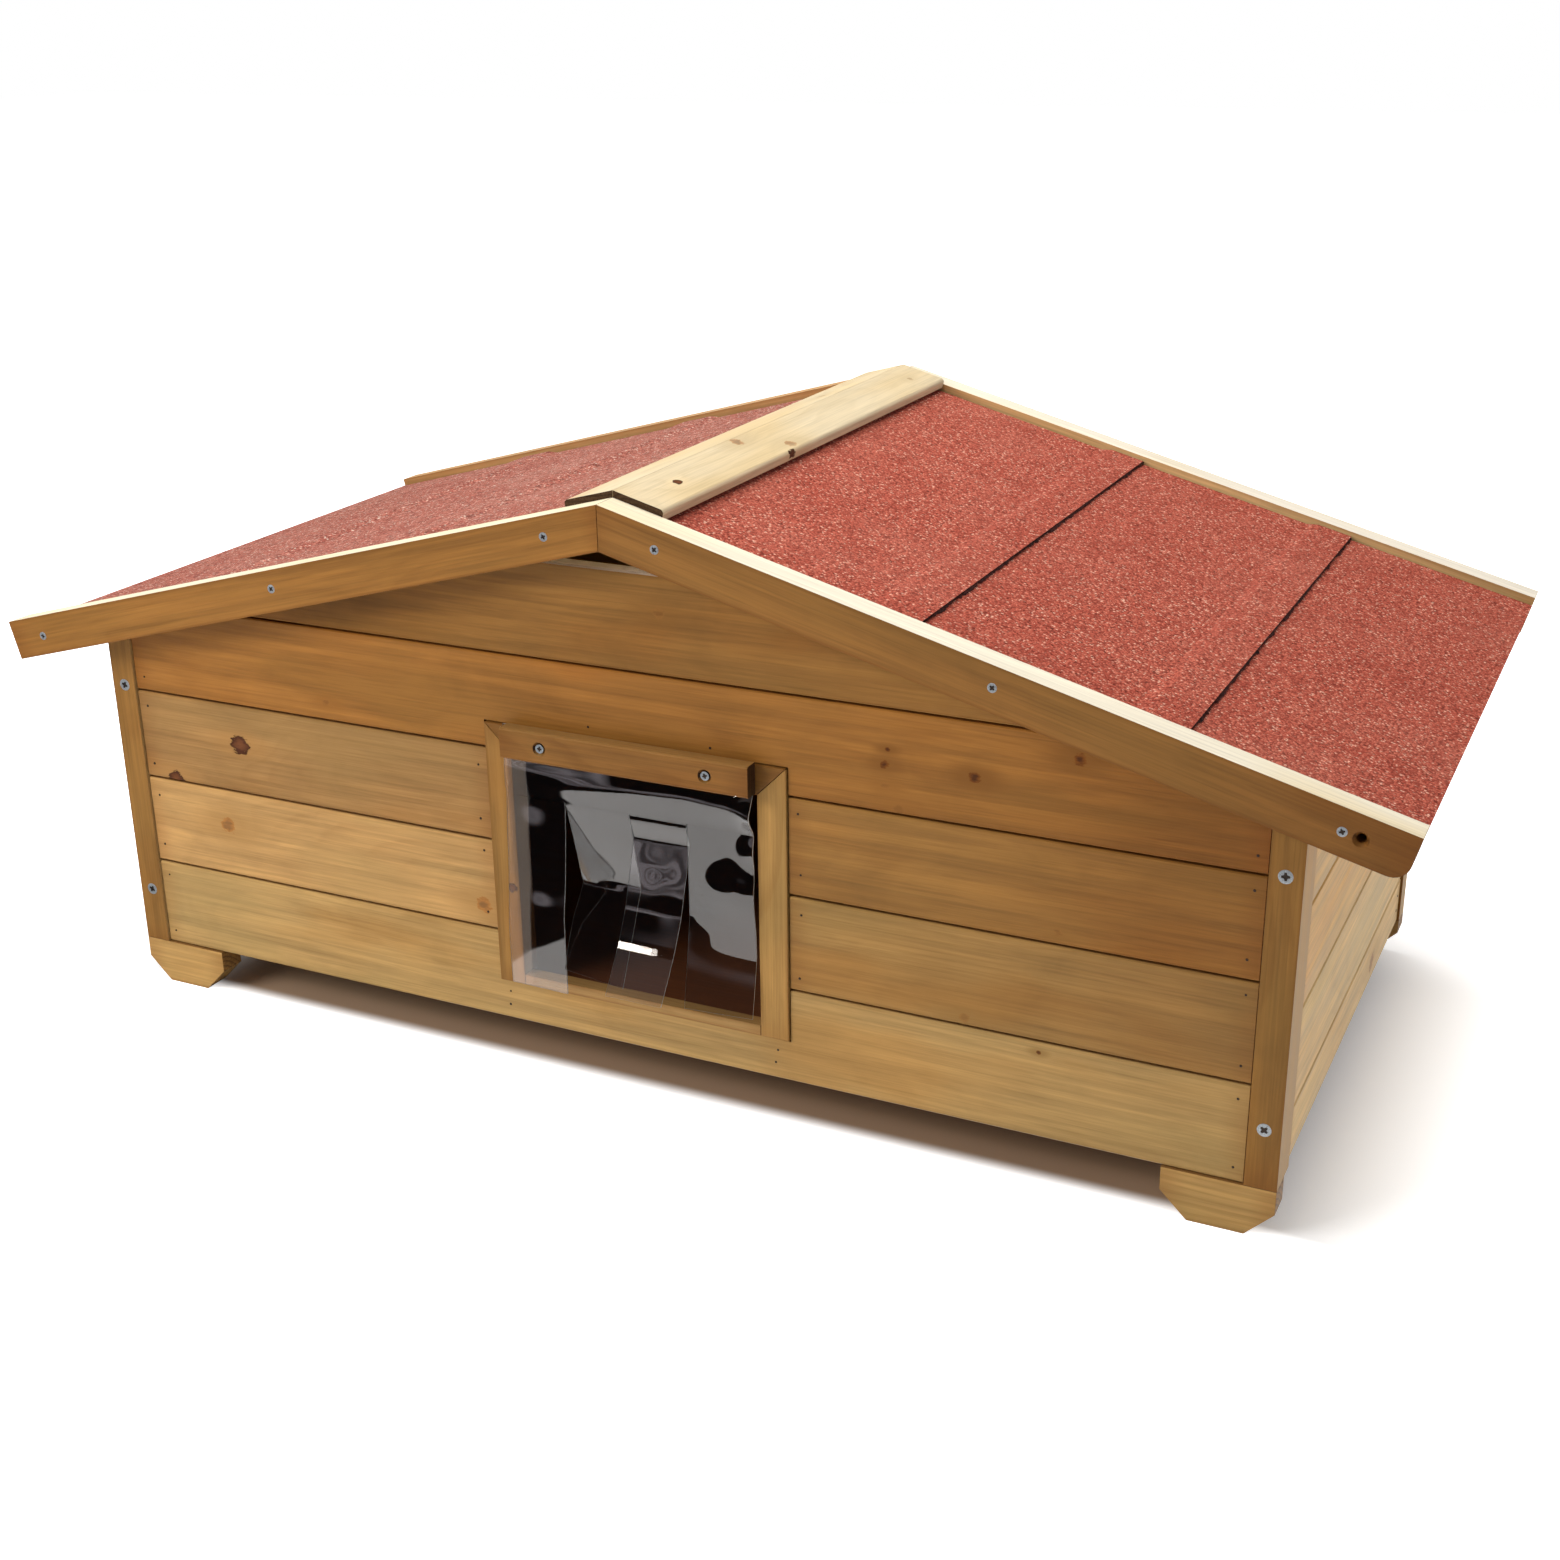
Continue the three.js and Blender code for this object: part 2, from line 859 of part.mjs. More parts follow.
buildFeet();
buildPosts();
buildFrontWall();
buildRearWall();
buildSideWall("left");
buildSideWall("right");
const floorTop = buildFloor();
buildDoorFrame(floorTop);
buildClamp();
buildScrews();
buildFlap();
buildDecks();
buildFelt();
buildBarges();
buildRidge();

// The finished part stands with the middle of its footprint at the origin.
group.position.y = -(bargeFront + bargeRear) / 2;

export default group;
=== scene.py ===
import math
import random

import bmesh
import bpy
import numpy as np
from mathutils import Matrix, Vector


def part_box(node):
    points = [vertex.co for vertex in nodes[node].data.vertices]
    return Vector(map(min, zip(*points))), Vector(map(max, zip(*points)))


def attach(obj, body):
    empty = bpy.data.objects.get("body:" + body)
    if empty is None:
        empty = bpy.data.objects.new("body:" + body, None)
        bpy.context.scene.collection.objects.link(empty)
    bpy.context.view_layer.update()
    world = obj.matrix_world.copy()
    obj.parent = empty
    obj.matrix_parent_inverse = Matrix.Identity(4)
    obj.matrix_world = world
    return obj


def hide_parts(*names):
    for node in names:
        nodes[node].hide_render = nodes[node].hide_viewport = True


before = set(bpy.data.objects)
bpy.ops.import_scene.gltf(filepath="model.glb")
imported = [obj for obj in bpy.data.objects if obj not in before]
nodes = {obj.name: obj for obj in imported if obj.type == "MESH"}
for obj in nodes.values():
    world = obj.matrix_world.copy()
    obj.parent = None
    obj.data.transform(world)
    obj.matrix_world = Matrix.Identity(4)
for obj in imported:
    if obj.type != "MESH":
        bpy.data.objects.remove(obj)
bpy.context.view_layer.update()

MM = 0.001
X = (1, 0, 0)
Y = (0, 1, 0)
Z = (0, 0, 1)

# Places taken from the CAD nodes, in metres
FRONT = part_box("front_right_post")[0].y
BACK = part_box("rear_right_post")[1].y
HALF_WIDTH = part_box("front_right_post")[1].x
BARGE_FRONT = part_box("front_right_barge_board")[0].y
BARGE_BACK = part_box("rear_right_barge_board")[1].y
ROOF_ANGLE = math.radians(15)
CAD_SHEET_THICKNESS = 0.0015
HINGE_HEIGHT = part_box("flap_strip_2")[1].z - CAD_SHEET_THICKNESS / 2
ROOF_COS, ROOF_SIN = math.cos(ROOF_ANGLE), math.sin(ROOF_ANGLE)
# Each slope's name, the way down it and the way out of it
SLOPES = (
    ("left", (-ROOF_COS, 0, -ROOF_SIN), (-ROOF_SIN, 0, ROOF_COS)),
    ("right", (ROOF_COS, 0, -ROOF_SIN), (ROOF_SIN, 0, ROOF_COS)),
)


def srgb(red, green, blue):
    """A colour written as 0 to 255, as the linear colour that a shader takes."""
    out = []
    for level in (red, green, blue):
        c = level / 255
        out.append(c / 12.92 if c <= 0.04045 else ((c + 0.055) / 1.055) ** 2.4)
    return (*out, 1.0)


def scaled(colour, factor):
    return shaded(colour, factor, factor, factor)


def shaded(colour, red, green, blue):
    """A colour with each channel multiplied by its own factor."""
    return colour[0] * red, colour[1] * green, colour[2] * blue, 1.0


def grey(level):
    return level, level, level, 1.0


# Shader building


class Tree:
    """A node tree under construction. A value is a number, a colour or another node's output."""

    def __init__(self, tree):
        self.tree = tree

    def put(self, value, socket):
        if isinstance(value, bpy.types.NodeSocket):
            self.tree.links.new(value, socket)
        else:
            socket.default_value = value

    def fill(self, made, **inputs):
        """Fills a node's inputs by name, with _ for a space."""
        for key, value in inputs.items():
            self.put(value, made.inputs[key.replace("_", " ")])

    def node(self, kind, *values, **named):
        """A new node. The values fill its inputs in their order.

        A name with a capital is an input too, and any other is a setting.
        """
        made = self.tree.nodes.new("ShaderNode" + kind)
        inputs = {key: value for key, value in named.items() if key[0].isupper()}
        for key, value in named.items():
            if key not in inputs:
                setattr(made, key, value)
        for value, socket in zip(values, made.inputs):
            self.put(value, socket)
        self.fill(made, **inputs)
        return made

    def math(self, operation, a, b=0.0):
        return self.node("Math", a, b, operation=operation).outputs[0]

    def plus(self, a, b):
        return self.math("ADD", a, b)

    def minus(self, a, b):
        return self.math("SUBTRACT", a, b)

    def times(self, a, b):
        return self.math("MULTIPLY", a, b)

    def length(self, a, b):
        return self.math("SQRT", self.plus(self.times(a, a), self.times(b, b)))

    def place(self):
        return self.node("TexCoord").outputs["Object"]

    def normal(self):
        return self.node("TexCoord").outputs["Normal"]

    def dot(self, vector, direction):
        made = self.node("VectorMath", vector, direction, operation="DOT_PRODUCT")
        return made.outputs["Value"]

    def combine(self, x, y, z):
        return self.node("CombineXYZ", x, y, z).outputs[0]

    def noise(self, vector, scale, detail=2.0, roughness=0.5, distortion=0.0):
        look = {"Detail": detail, "Roughness": roughness, "Distortion": distortion}
        return self.node("TexNoise", Vector=vector, Scale=scale, **look).outputs["Fac"]

    def ease(self, value, low, high, start=0.0, end=1.0):
        """A smooth step of value from start at low to end at high."""
        values = (value, low, high, start, end)
        made = self.node("MapRange", *values, interpolation_type="SMOOTHSTEP")
        return made.outputs["Result"]

    def ramp(self, value, stops):
        made = self.node("ValToRGB", value)
        elements = made.color_ramp.elements
        while len(elements) < len(stops):
            elements.new(0.5)
        for element, (place, colour) in zip(elements, stops):
            element.position = place
            element.color = colour if isinstance(colour, tuple) else grey(colour)
        return made.outputs["Color"]

    def mix(self, factor, a, b, blend="MIX"):
        """A colour between a and b. The node's colour sockets are inputs 6 and 7 and output 2."""
        made = self.node("Mix", factor, data_type="RGBA", blend_type=blend)
        self.put(a, made.inputs[6])
        self.put(b, made.inputs[7])
        return made.outputs[2]

    def product(self, a, b):
        return self.mix(1.0, a, b, "MULTIPLY")

    def glow(self, kind, colour, strength=1.0):
        """An emission or background shader."""
        return self.node(kind, Color=colour, Strength=strength).outputs[0]

    def mix_shaders(self, factor, a, b):
        return self.node("MixShader", factor, a, b).outputs[0]

    def bump(self, height, distance, strength, **normal):
        made = self.node("Bump", Height=height, Distance=distance, Strength=strength, **normal)
        return made.outputs[0]


class Graph(Tree):
    """A material under construction."""

    def __init__(self, name):
        self.material = bpy.data.materials.new(name)
        self.material.use_nodes = True
        super().__init__(self.material.node_tree)
        self.shader = self.tree.nodes["Principled BSDF"]
        self.output = self.tree.nodes["Material Output"]

    def set(self, **inputs):
        self.fill(self.shader, **inputs)

    def surface(self, shader):
        self.fill(self.output, Surface=shader)


def speckled(name, noise, stops, rough, bump, metallic=0.0):
    """A material whose colour, roughness and relief all follow one fine noise."""
    g = Graph(name)
    mark = g.noise(g.place(), *noise)
    g.set(
        Base_Color=g.ramp(mark, stops),
        Metallic=metallic,
        Roughness=g.ease(mark, 0.3, 0.7, *rough),
        Normal=g.bump(mark, *bump),
    )
    return g.material


# Wood


# Lengths in the look of wood, in metres
RING_SPACING = (0.0022, 0.0036)
RING_WANDER = (0.022, 0.03)
PITH_DEPTH = (0.03, 0.08)
EDGE_STAIN = (0.0022, 0.0003)
END_STAIN = 0.016
TOP_LIP = (0.0020, 0.0006)
BARGE_TOP = (0.008, 0.004)
JOINT_LINE = 0.0004
JOINT_FADE = (0.0001, 0.0006)
SOFT_EDGE = 0.0005
FIBRE_RELIEF = 0.00018

# How a knot looks: the colours of its core and rim, the shade of the halo round it, and how
# strongly the knot and the halo show
KNOTS = {
    "sound": (srgb(112, 66, 38), srgb(66, 36, 22), 1.10, 1.0, 0.5),
    "red": (srgb(72, 36, 10), srgb(118, 66, 18), 0.68, 0.9, 0.85),
    "orange": (srgb(112, 64, 28), srgb(166, 100, 40), 0.78, 0.6, 0.6),
    "faint": (srgb(120, 76, 32), srgb(146, 98, 46), 0.82, 0.4, 0.5),
}


def dress(name, g):
    """Gives a CAD node a material in every slot."""
    mesh = nodes[name].data
    mesh.materials.clear()
    mesh.materials.append(g.material)


def span(name, direction):
    """The lowest and highest reach of a CAD node along a direction."""
    reach = [vertex.co.dot(Vector(direction)) for vertex in nodes[name].data.vertices]
    return min(reach), max(reach)


def wood(
    name, tone, along, across, seed, knots=(), figure=1.0, stain=1.0,
    lit_top_tone=None, end_tone=None, tongue=0.0, lit_side_tone=None, painted_shade=None,
):
    """Dresses a node in stained softwood.

    along is the way of the grain and across the width of the shown face.

    A knot is its place along and across, its radius and its kind. figure is the strength of
    the growth rings and stain that of the blotches. Cross-cut ends can have a tone of their
    own. Faces that look up can have one too, a painted light and sheen from above, and faces
    across the shown one a paler one, painted light where more light falls on those sides. The
    tongue is the hidden part of the width. A darkening along the grain paints shade that falls
    off towards one end: it is given as its start and end, and the colour that it reaches as a
    share of the tone.
    """
    g = Graph(name)
    rng = random.Random(seed)
    out = tuple(Vector(along).cross(Vector(across)))
    place = g.place()
    u_low, u_high = span(name, along)
    v_low, v_high = span(name, across)
    v_high -= tongue
    half_long = (u_high - u_low) / 2
    half_wide = (v_high - v_low) / 2
    u = g.dot(place, along)
    v = g.dot(place, across)
    w = g.dot(place, out)
    u0 = (u_low + u_high) / 2
    v0 = (v_low + v_high) / 2
    w0 = sum(span(name, out)) / 2
    shift = [rng.uniform(-50, 50) for _ in range(3)]

    def stretched(a, b):
        return g.combine(
            g.plus(g.times(u, a), shift[0]),
            g.plus(g.times(v, b), shift[1]),
            g.plus(g.times(w, b), shift[2]),
        )

    # Distance from the pith of the log, whose axis leans a little to the board.
    pith_v = v0 + rng.uniform(-0.4, 0.4) * half_wide
    pith_w = w0 + rng.choice((-1, 1)) * rng.uniform(*PITH_DEPTH)
    lean_v = rng.uniform(-0.03, 0.03)
    lean_w = rng.choice((-1, 1)) * rng.uniform(0.02, 0.05)
    wander_v = g.times(g.noise(stretched(3.2, 5.0), 1.0, 2.0), RING_WANDER[0])
    wander_w = g.times(g.noise(stretched(2.1, 4.0), 1.7, 2.0), RING_WANDER[1])
    along_mid = g.minus(u, u0)
    pv = g.plus(g.plus(g.minus(v, pith_v), g.times(along_mid, lean_v)), wander_v)
    pw = g.plus(g.plus(g.minus(w, pith_w), g.times(along_mid, lean_w)), wander_w)
    radius = g.length(pv, pw)
    marks = []
    knot_noise = g.noise(stretched(210, 420), 1.0, 3.0, 0.6) if knots else None
    for knot_u, knot_v, knot_radius, kind in knots:
        du = g.times(g.minus(u, knot_u), 0.86 / knot_radius)
        dv = g.times(g.minus(v, knot_v), 1 / knot_radius)
        rough = g.plus(g.length(du, dv), g.times(g.minus(knot_noise, 0.5), 1.5))
        far = g.length(g.times(du, 0.5), dv)
        marks.append((kind, rough, far))
        push = g.math("POWER", 0.5, g.times(g.times(far, far), 0.35))
        radius = g.plus(radius, g.times(push, knot_radius * 0.9))
    spacing = rng.uniform(*RING_SPACING)
    jitter = g.noise(stretched(9, 160), 1.0, 2.0)
    count = g.plus(g.math("DIVIDE", radius, spacing), g.times(jitter, 0.45))
    ring = g.ramp(
        g.math("FRACT", count),
        [(0.0, 0.15), (0.25, 0.0), (0.6, 0.28), (0.86, 1.0), (0.93, 0.9), (1.0, 0.15)],
    )
    patch = g.noise(stretched(4.5, 16), 1.0, 2.0)
    ring_weight = g.times(g.ease(patch, 0.38, 0.72, 0.12, 1.0), 0.20 * figure)
    fibre = g.noise(stretched(16, 900), 1.0, 3.0, 0.65)
    streak = g.noise(stretched(4.4, 105), 1.0, 6.0, 0.66, 0.5)
    blotch = g.noise(stretched(11, 26), 1.0, 4.0, 0.6, 0.8)
    tint = g.noise(stretched(3.1, 9), 2.3, 2.0)

    warm = shaded(tone, 1.02, 0.84, 0.62)
    cool = shaded(tone, 0.90, 0.97, 0.98)
    colour = g.mix(g.ease(streak, 0.33, 0.67), scaled(tone, 0.84), scaled(tone, 1.17))
    colour = g.mix(g.ease(tint, 0.50, 0.72, 0.0, 0.55 * stain), colour, warm)
    colour = g.mix(g.ease(tint, 0.30, 0.50, 0.6 * stain, 0.0), colour, cool)
    blotchy = g.ramp(blotch, [(0.28, 0.84), (0.5, 1.0), (0.74, 1.12)])
    colour = g.mix(0.9 * stain, colour, blotchy, "MULTIPLY")
    colour = g.mix(g.times(ring, ring_weight), colour, shaded(tone, 0.56, 0.44, 0.33))
    fine = g.ramp(fibre, [(0.3, 0.87), (0.5, 1.0), (0.72, 1.08)])
    colour = g.product(colour, fine)
    thread = g.noise(stretched(7, 330), 1.0, 5.0, 0.72, 0.3)
    colour = g.product(colour, g.ramp(thread, [(0.30, 0.88), (0.5, 1.0), (0.70, 1.09)]))
    # Painted shade: darker along the grain towards one end, where less light falls.
    if painted_shade:
        start, end, share = painted_shade
        colour = g.product(colour, g.mix(g.ease(u, start, end), grey(1.0), (*share, 1.0)))

    # The stain gathers along the edges and at the ends.
    near_edge = g.math("ABSOLUTE", g.minus(v, v0))
    near_end = g.math("ABSOLUTE", along_mid)
    edge = g.ease(near_edge, half_wide - EDGE_STAIN[0], half_wide - EDGE_STAIN[1], 0.0, 0.5)
    end = g.ease(near_end, half_long - END_STAIN, half_long, 0.0, 0.45)
    facing_side = g.math("ABSOLUTE", g.dot(g.normal(), across))
    on_face = g.ease(facing_side, 0.4, 0.7, 1.0, 0.0)
    worn = g.times(g.math("MAXIMUM", edge, end), g.ease(blotch, 0.3, 0.7, 0.5, 1.0))
    colour = g.mix(g.times(worn, on_face), colour, shaded(tone, 0.60, 0.43, 0.30))

    # Painted light: faces that look up get a paler tone, standing in for light and sheen from
    # above.
    if lit_top_tone is not None:
        lit_top_colour = g.mix(g.ease(streak, 0.3, 0.7), scaled(lit_top_tone, 0.92), scaled(lit_top_tone, 1.05))
        yellow = shaded(lit_top_tone, 0.95, 0.84, 0.62)
        lit_top_colour = g.mix(g.ease(tint, 0.42, 0.68, 0.0, 0.6), lit_top_colour, yellow)
        lit_top_ring = g.times(ring, g.ease(patch, 0.38, 0.72, 0.04, 0.22))
        lit_top_colour = g.product(g.mix(lit_top_ring, lit_top_colour, scaled(yellow, 0.62)), fine)
        up = g.ease(g.dot(g.normal(), Z), 0.6, 0.85)
        if "barge" in name:
            # Its lower edge looks up a little too, and gets no painted top light.
            up = g.times(up, g.ease(v, v_high - BARGE_TOP[0], v_high - BARGE_TOP[1]))
        colour = g.mix(up, colour, lit_top_colour)
    elif "front" in name:
        # Light catches the top lip of each board.
        lip = g.ease(v, v_high - TOP_LIP[0], v_high - TOP_LIP[1], 0.0, 0.5)
        lip = g.times(g.times(lip, g.ease(blotch, 0.42, 0.62)), on_face)
        colour = g.mix(lip, colour, scaled(tone, 1.5))

    for kind, rough, far in marks:
        core, rim, halo, strength, halo_strength = KNOTS[kind]
        reach = 2.1 if kind == "sound" else 3.4
        around = shaded(scaled(tone, halo), 1.02, 0.96, 0.85)
        colour = g.mix(g.ease(far, 0.8, reach, halo_strength, 0.0), colour, around)
        inside = g.mix(g.ease(rough, 0.25, 0.95), core, rim)
        inside = g.product(inside, g.ramp(knot_noise, [(0.3, 0.80), (0.7, 1.22)]))
        colour = g.mix(g.ease(rough, 0.82, 1.06, strength, 0.0), colour, inside)

    # Sides that face across the shown one are dark, partly with stain and partly as painted shade
    # in the joints and the doorway, and a thin dark line runs along each joint. Pieces with a
    # painted top light skip this.
    line = JOINT_LINE if tongue else 0.0
    hidden = g.ease(near_edge, *(half_wide + step - line for step in JOINT_FADE))
    if lit_top_tone is None:
        side = g.math("MAXIMUM", g.ease(facing_side, 0.80, 0.92, 0.0, 0.7), hidden)
        colour = g.mix(side, colour, shaded(tone, 0.30, 0.20, 0.14))
    # Painted light: the sides across the shown one get a paler tone of their own, where more light
    # falls on them.
    if lit_side_tone is not None:
        lit_side_dark, lit_side_pale = scaled(lit_side_tone, 0.9), scaled(lit_side_tone, 1.1)
        lit_side = g.mix(g.ease(streak, 0.35, 0.65), lit_side_dark, lit_side_pale)
        colour = g.mix(g.ease(facing_side, 0.80, 0.92), colour, lit_side)

    # Cross-cut ends show rings and take more stain. A given end tone, as on the batten and the
    # ridge boards, is darker still: partly stain, partly painted shade on an end out of the light.
    cut_end = g.ease(g.math("ABSOLUTE", g.dot(g.normal(), along)), 0.62, 0.8)
    end_base = end_tone or shaded(tone, 0.50, 0.42, 0.34)
    end_colour = g.mix(ring, scaled(end_base, 1.25), scaled(end_base, 0.62))
    pores = g.noise(stretched(900, 900), 1.0, 2.0)
    end_colour = g.product(end_colour, g.ramp(pores, [(0.35, 0.75), (0.65, 1.15)]))
    colour = g.mix(cut_end, colour, end_colour)

    relief = g.plus(g.times(fibre, 0.6), g.times(ring, 0.15))
    relief = g.plus(relief, g.times(cut_end, g.times(pores, 0.6)))
    soft = g.node("Bevel", Radius=SOFT_EDGE, samples=4).outputs[0]
    g.set(
        Base_Color=colour,
        Roughness=g.ease(streak, 0.2, 0.8, 0.44, 0.60),
        Specular_IOR_Level=0.2,
        Normal=g.bump(relief, FIBRE_RELIEF, 0.8, Normal=soft),
    )
    dress(name, g)


HONEY = srgb(178, 134, 78)
PALE = srgb(224, 188, 130)
# The posts' sides take a paler tone: painted light where more light falls on them.
POST_LIT_SIDE = srgb(180, 142, 90)
BARE = srgb(216, 198, 164)
# The width of a board's tongue, which the board above it hides
TONGUE = 0.004

# Each front board's tone, and its knots as x, z, radius and kind. The tones get darker towards
# the top: partly the boards' own, partly painted shade under the roof.
FRONT_BOARDS = {
    "front_gable_board": (srgb(143, 100, 48), [(0.02, 0.292, 0.0035, "faint")]),
    "front_top_board": (
        srgb(154, 103, 46),
        [
            (0.1512, 0.2352, 0.0014, "red"),
            (0.1500, 0.2268, 0.0024, "red"),
            (0.1505, 0.2150, 0.0022, "faint"),
            (0.1990, 0.2272, 0.0030, "red"),
            (0.2535, 0.2452, 0.0034, "red"),
            (0.1580, 0.2030, 0.0030, "faint"),
            (-0.2050, 0.2115, 0.0022, "faint"),
        ],
    ),
    "front_third_board_left": (
        srgb(158, 118, 69),
        [(-0.2732, 0.1745, 0.0062, "sound"), (-0.3272, 0.1438, 0.0056, "sound")],
    ),
    "front_second_board_left": (
        srgb(184, 142, 87),
        [(-0.2900, 0.1190, 0.0050, "orange"), (-0.1037, 0.0996, 0.0046, "orange")],
    ),
    "front_third_board_right": (srgb(154, 110, 55), [(0.246, 0.150, 0.0022, "faint")]),
    "front_second_board_right": (srgb(159, 121, 68), [(0.196, 0.0905, 0.0028, "faint")]),
    "front_bottom_board": (srgb(176, 141, 87), [(0.238, 0.0790, 0.0012, "red")]),
}

# Painted shade: where a front board gets darker towards its end as less light falls there, and
# the share of its tone that it reaches
SHADE_FADES = {
    "front_top_board": (0.20, 0.32, (0.72, 0.66, 0.60)),
    "front_gable_board": (-0.04, -0.20, (0.84, 0.76, 0.62)),
    "front_third_board_right": (0.16, 0.31, (0.78, 0.71, 0.64)),
    "front_second_board_right": (0.18, 0.32, (0.84, 0.79, 0.76)),
}


def scattered_knots(rng, count, low, high):
    """Knots of several kinds within a rectangle given by its low and high corner."""
    knots = []
    for _ in range(count):
        place = rng.uniform(low[0], high[0])
        height = rng.uniform(low[1], high[1])
        kind = rng.choice(tuple(KNOTS))
        knots.append((place, height, rng.uniform(0.003, 0.0062), kind))
    return knots


def dress_boards():
    """The boards of the four walls. Only the gable boards have no tongue."""
    for index, (name, (tone, knots)) in enumerate(FRONT_BOARDS.items()):
        # The gable board's flat top gets a near-white tone: painted light on a face in the roof's
        # shade.
        top, tongue = (srgb(255, 246, 232), 0) if "gable" in name else (None, TONGUE)
        painted_shade = SHADE_FADES.get(name)
        wood(name, tone, X, Z, 100 + index, knots, lit_top_tone=top, tongue=tongue, painted_shade=painted_shade)
    rows = ("bottom", "second", "third", "top")
    for index, row in enumerate(rows + ("gable",)):
        name = f"rear_{row}_board"
        rng = random.Random(400 + index)
        tone = scaled(HONEY, rng.uniform(0.88, 1.1))
        low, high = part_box(name)
        corners = (low.x * 0.75, low.z + 0.012), (high.x * 0.75, low.z + 0.045)
        knots = scattered_knots(rng, rng.choice((1, 2, 3)), *corners)
        tongue = 0 if row == "gable" else TONGUE
        wood(name, tone, X, Z, 410 + index, knots, tongue=tongue)
    for side in ("left", "right"):
        for index, row in enumerate(rows):
            name = f"{side}_{row}_board"
            rng = random.Random(500 + index + 10 * (side == "right"))
            low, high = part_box(name)
            corners = (low.y + 0.04, low.z + 0.01), (high.y - 0.04, high.z - 0.008)
            knots = scattered_knots(rng, rng.choice((0, 1, 2)), *corners)
            tone = scaled(PALE, rng.uniform(0.9, 1.06))
            # The top row is darker, partly its own orange tone and partly painted shade under the
            # roof; the third row is a little darker and more orange.
            if row == "top":
                tone = srgb(208, 172, 116)
            elif row == "third":
                tone = shaded(tone, 0.90, 0.82, 0.68)
            wood(name, tone, Y, Z, 520 + index, knots, stain=0.8, tongue=TONGUE)


def dress_frame_pieces():
    """Posts, feet, the door frame and the floor."""
    for end in ("front", "rear"):
        for side in ("left", "right"):
            seed = 600 + len(end) + len(side)
            name = f"{end}_{side}_post"
            tone = srgb(142, 101, 48)
            wood(name, tone, Z, X, seed, figure=1.4, lit_top_tone=HONEY, lit_side_tone=POST_LIT_SIDE)
            name = f"{end}_{side}_foot"
            wood(name, srgb(179, 141, 84), X, Z, seed + 20, figure=1.5)
    name = "door_left_jamb"
    low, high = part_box(name)
    knots = [(low.z * 0.62 + high.z * 0.38, low.x + 0.0125, 0.0028, "sound")]
    wood(name, srgb(148, 108, 55), Z, X, 640, knots, figure=1.4)
    name = "flap_clamp_batten"
    tones = {"lit_top_tone": srgb(156, 118, 68), "end_tone": srgb(58, 38, 22)}
    wood(name, srgb(134, 91, 43), X, Z, 655, figure=1.3, **tones)
    plain = {
        "door_right_jamb": (srgb(172, 131, 73), Z, X),
        "door_lintel": (srgb(133, 91, 42), X, Z),
        "door_sill": (srgb(172, 132, 80), X, Z),
        "door_left_batten": (srgb(160, 116, 68), Z, X),
        "door_right_batten": (srgb(160, 116, 68), Z, X),
        "floor_front_bearer": (srgb(150, 108, 64), X, Z),
        "floor_rear_bearer": (srgb(150, 108, 64), X, Z),
        "floor_panel": (srgb(112, 68, 44), X, Y),
    }
    for index, (name, (tone, along, across)) in enumerate(plain.items()):
        seed = 660 + index
        wood(name, tone, along, across, seed, figure=1.4, lit_top_tone=scaled(tone, 1.1))


# The barge boards' tones: face, and upper edge. The upper edge's light tone is a painted sheen,
# standing in for the bright backdrop mirrored on it.
BARGE_TONES = {
    "front_left": (srgb(144, 98, 45), srgb(232, 220, 192)),
    "front_right": (srgb(140, 96, 46), srgb(236, 226, 204)),
    "rear_left": (srgb(172, 134, 86), srgb(196, 158, 116)),
    "rear_right": (srgb(204, 172, 120), srgb(240, 230, 212)),
}

# Painted shade: where each barge board gets darker towards its eave as less light falls there, and
# the share of its tone that it reaches
BARGE_SHADE_FADES = {
    "left": (0.20, 0.42, (0.88, 0.84, 0.74)),
    "right": (0.18, 0.42, (0.66, 0.60, 0.52)),
}

# Knots of the ridge boards, as y, x, radius and kind
RIDGE_KNOTS = {
    "left": [(0.09, -0.012, 0.0030, "faint")],
    "right": [
        (-0.1543, 0.0145, 0.0030, "sound"),
        (-0.0635, 0.0040, 0.0042, "orange"),
        (-0.0331, 0.0240, 0.0038, "orange"),
        (-0.0425, 0.0325, 0.0050, "sound"),
        (0.1715, 0.0157, 0.0022, "faint"),
    ],
}


def dress_roof_wood():
    """Barge boards, roof decks and ridge boards."""
    for index, (side, down, out) in enumerate(SLOPES):
        for end in ("front", "rear"):
            name = f"{end}_{side}_barge_board"
            tone, top = BARGE_TONES[f"{end}_{side}"]
            seed, painted_shade = 700 + index + len(end), BARGE_SHADE_FADES[side]
            wood(name, tone, down, out, seed, stain=0.8, lit_top_tone=top, painted_shade=painted_shade)
        name = f"{side}_roof_deck"
        wood(name, srgb(232, 204, 160), Y, down, 720 + index)
        name = f"ridge_{side}_board"
        looks = {"figure": 0.8, "stain": 0.35, "lit_top_tone": BARE, "end_tone": srgb(66, 46, 30)}
        wood(name, BARE, Y, X, 740 + index, RIDGE_KNOTS[side], **looks)


# Roofing felt


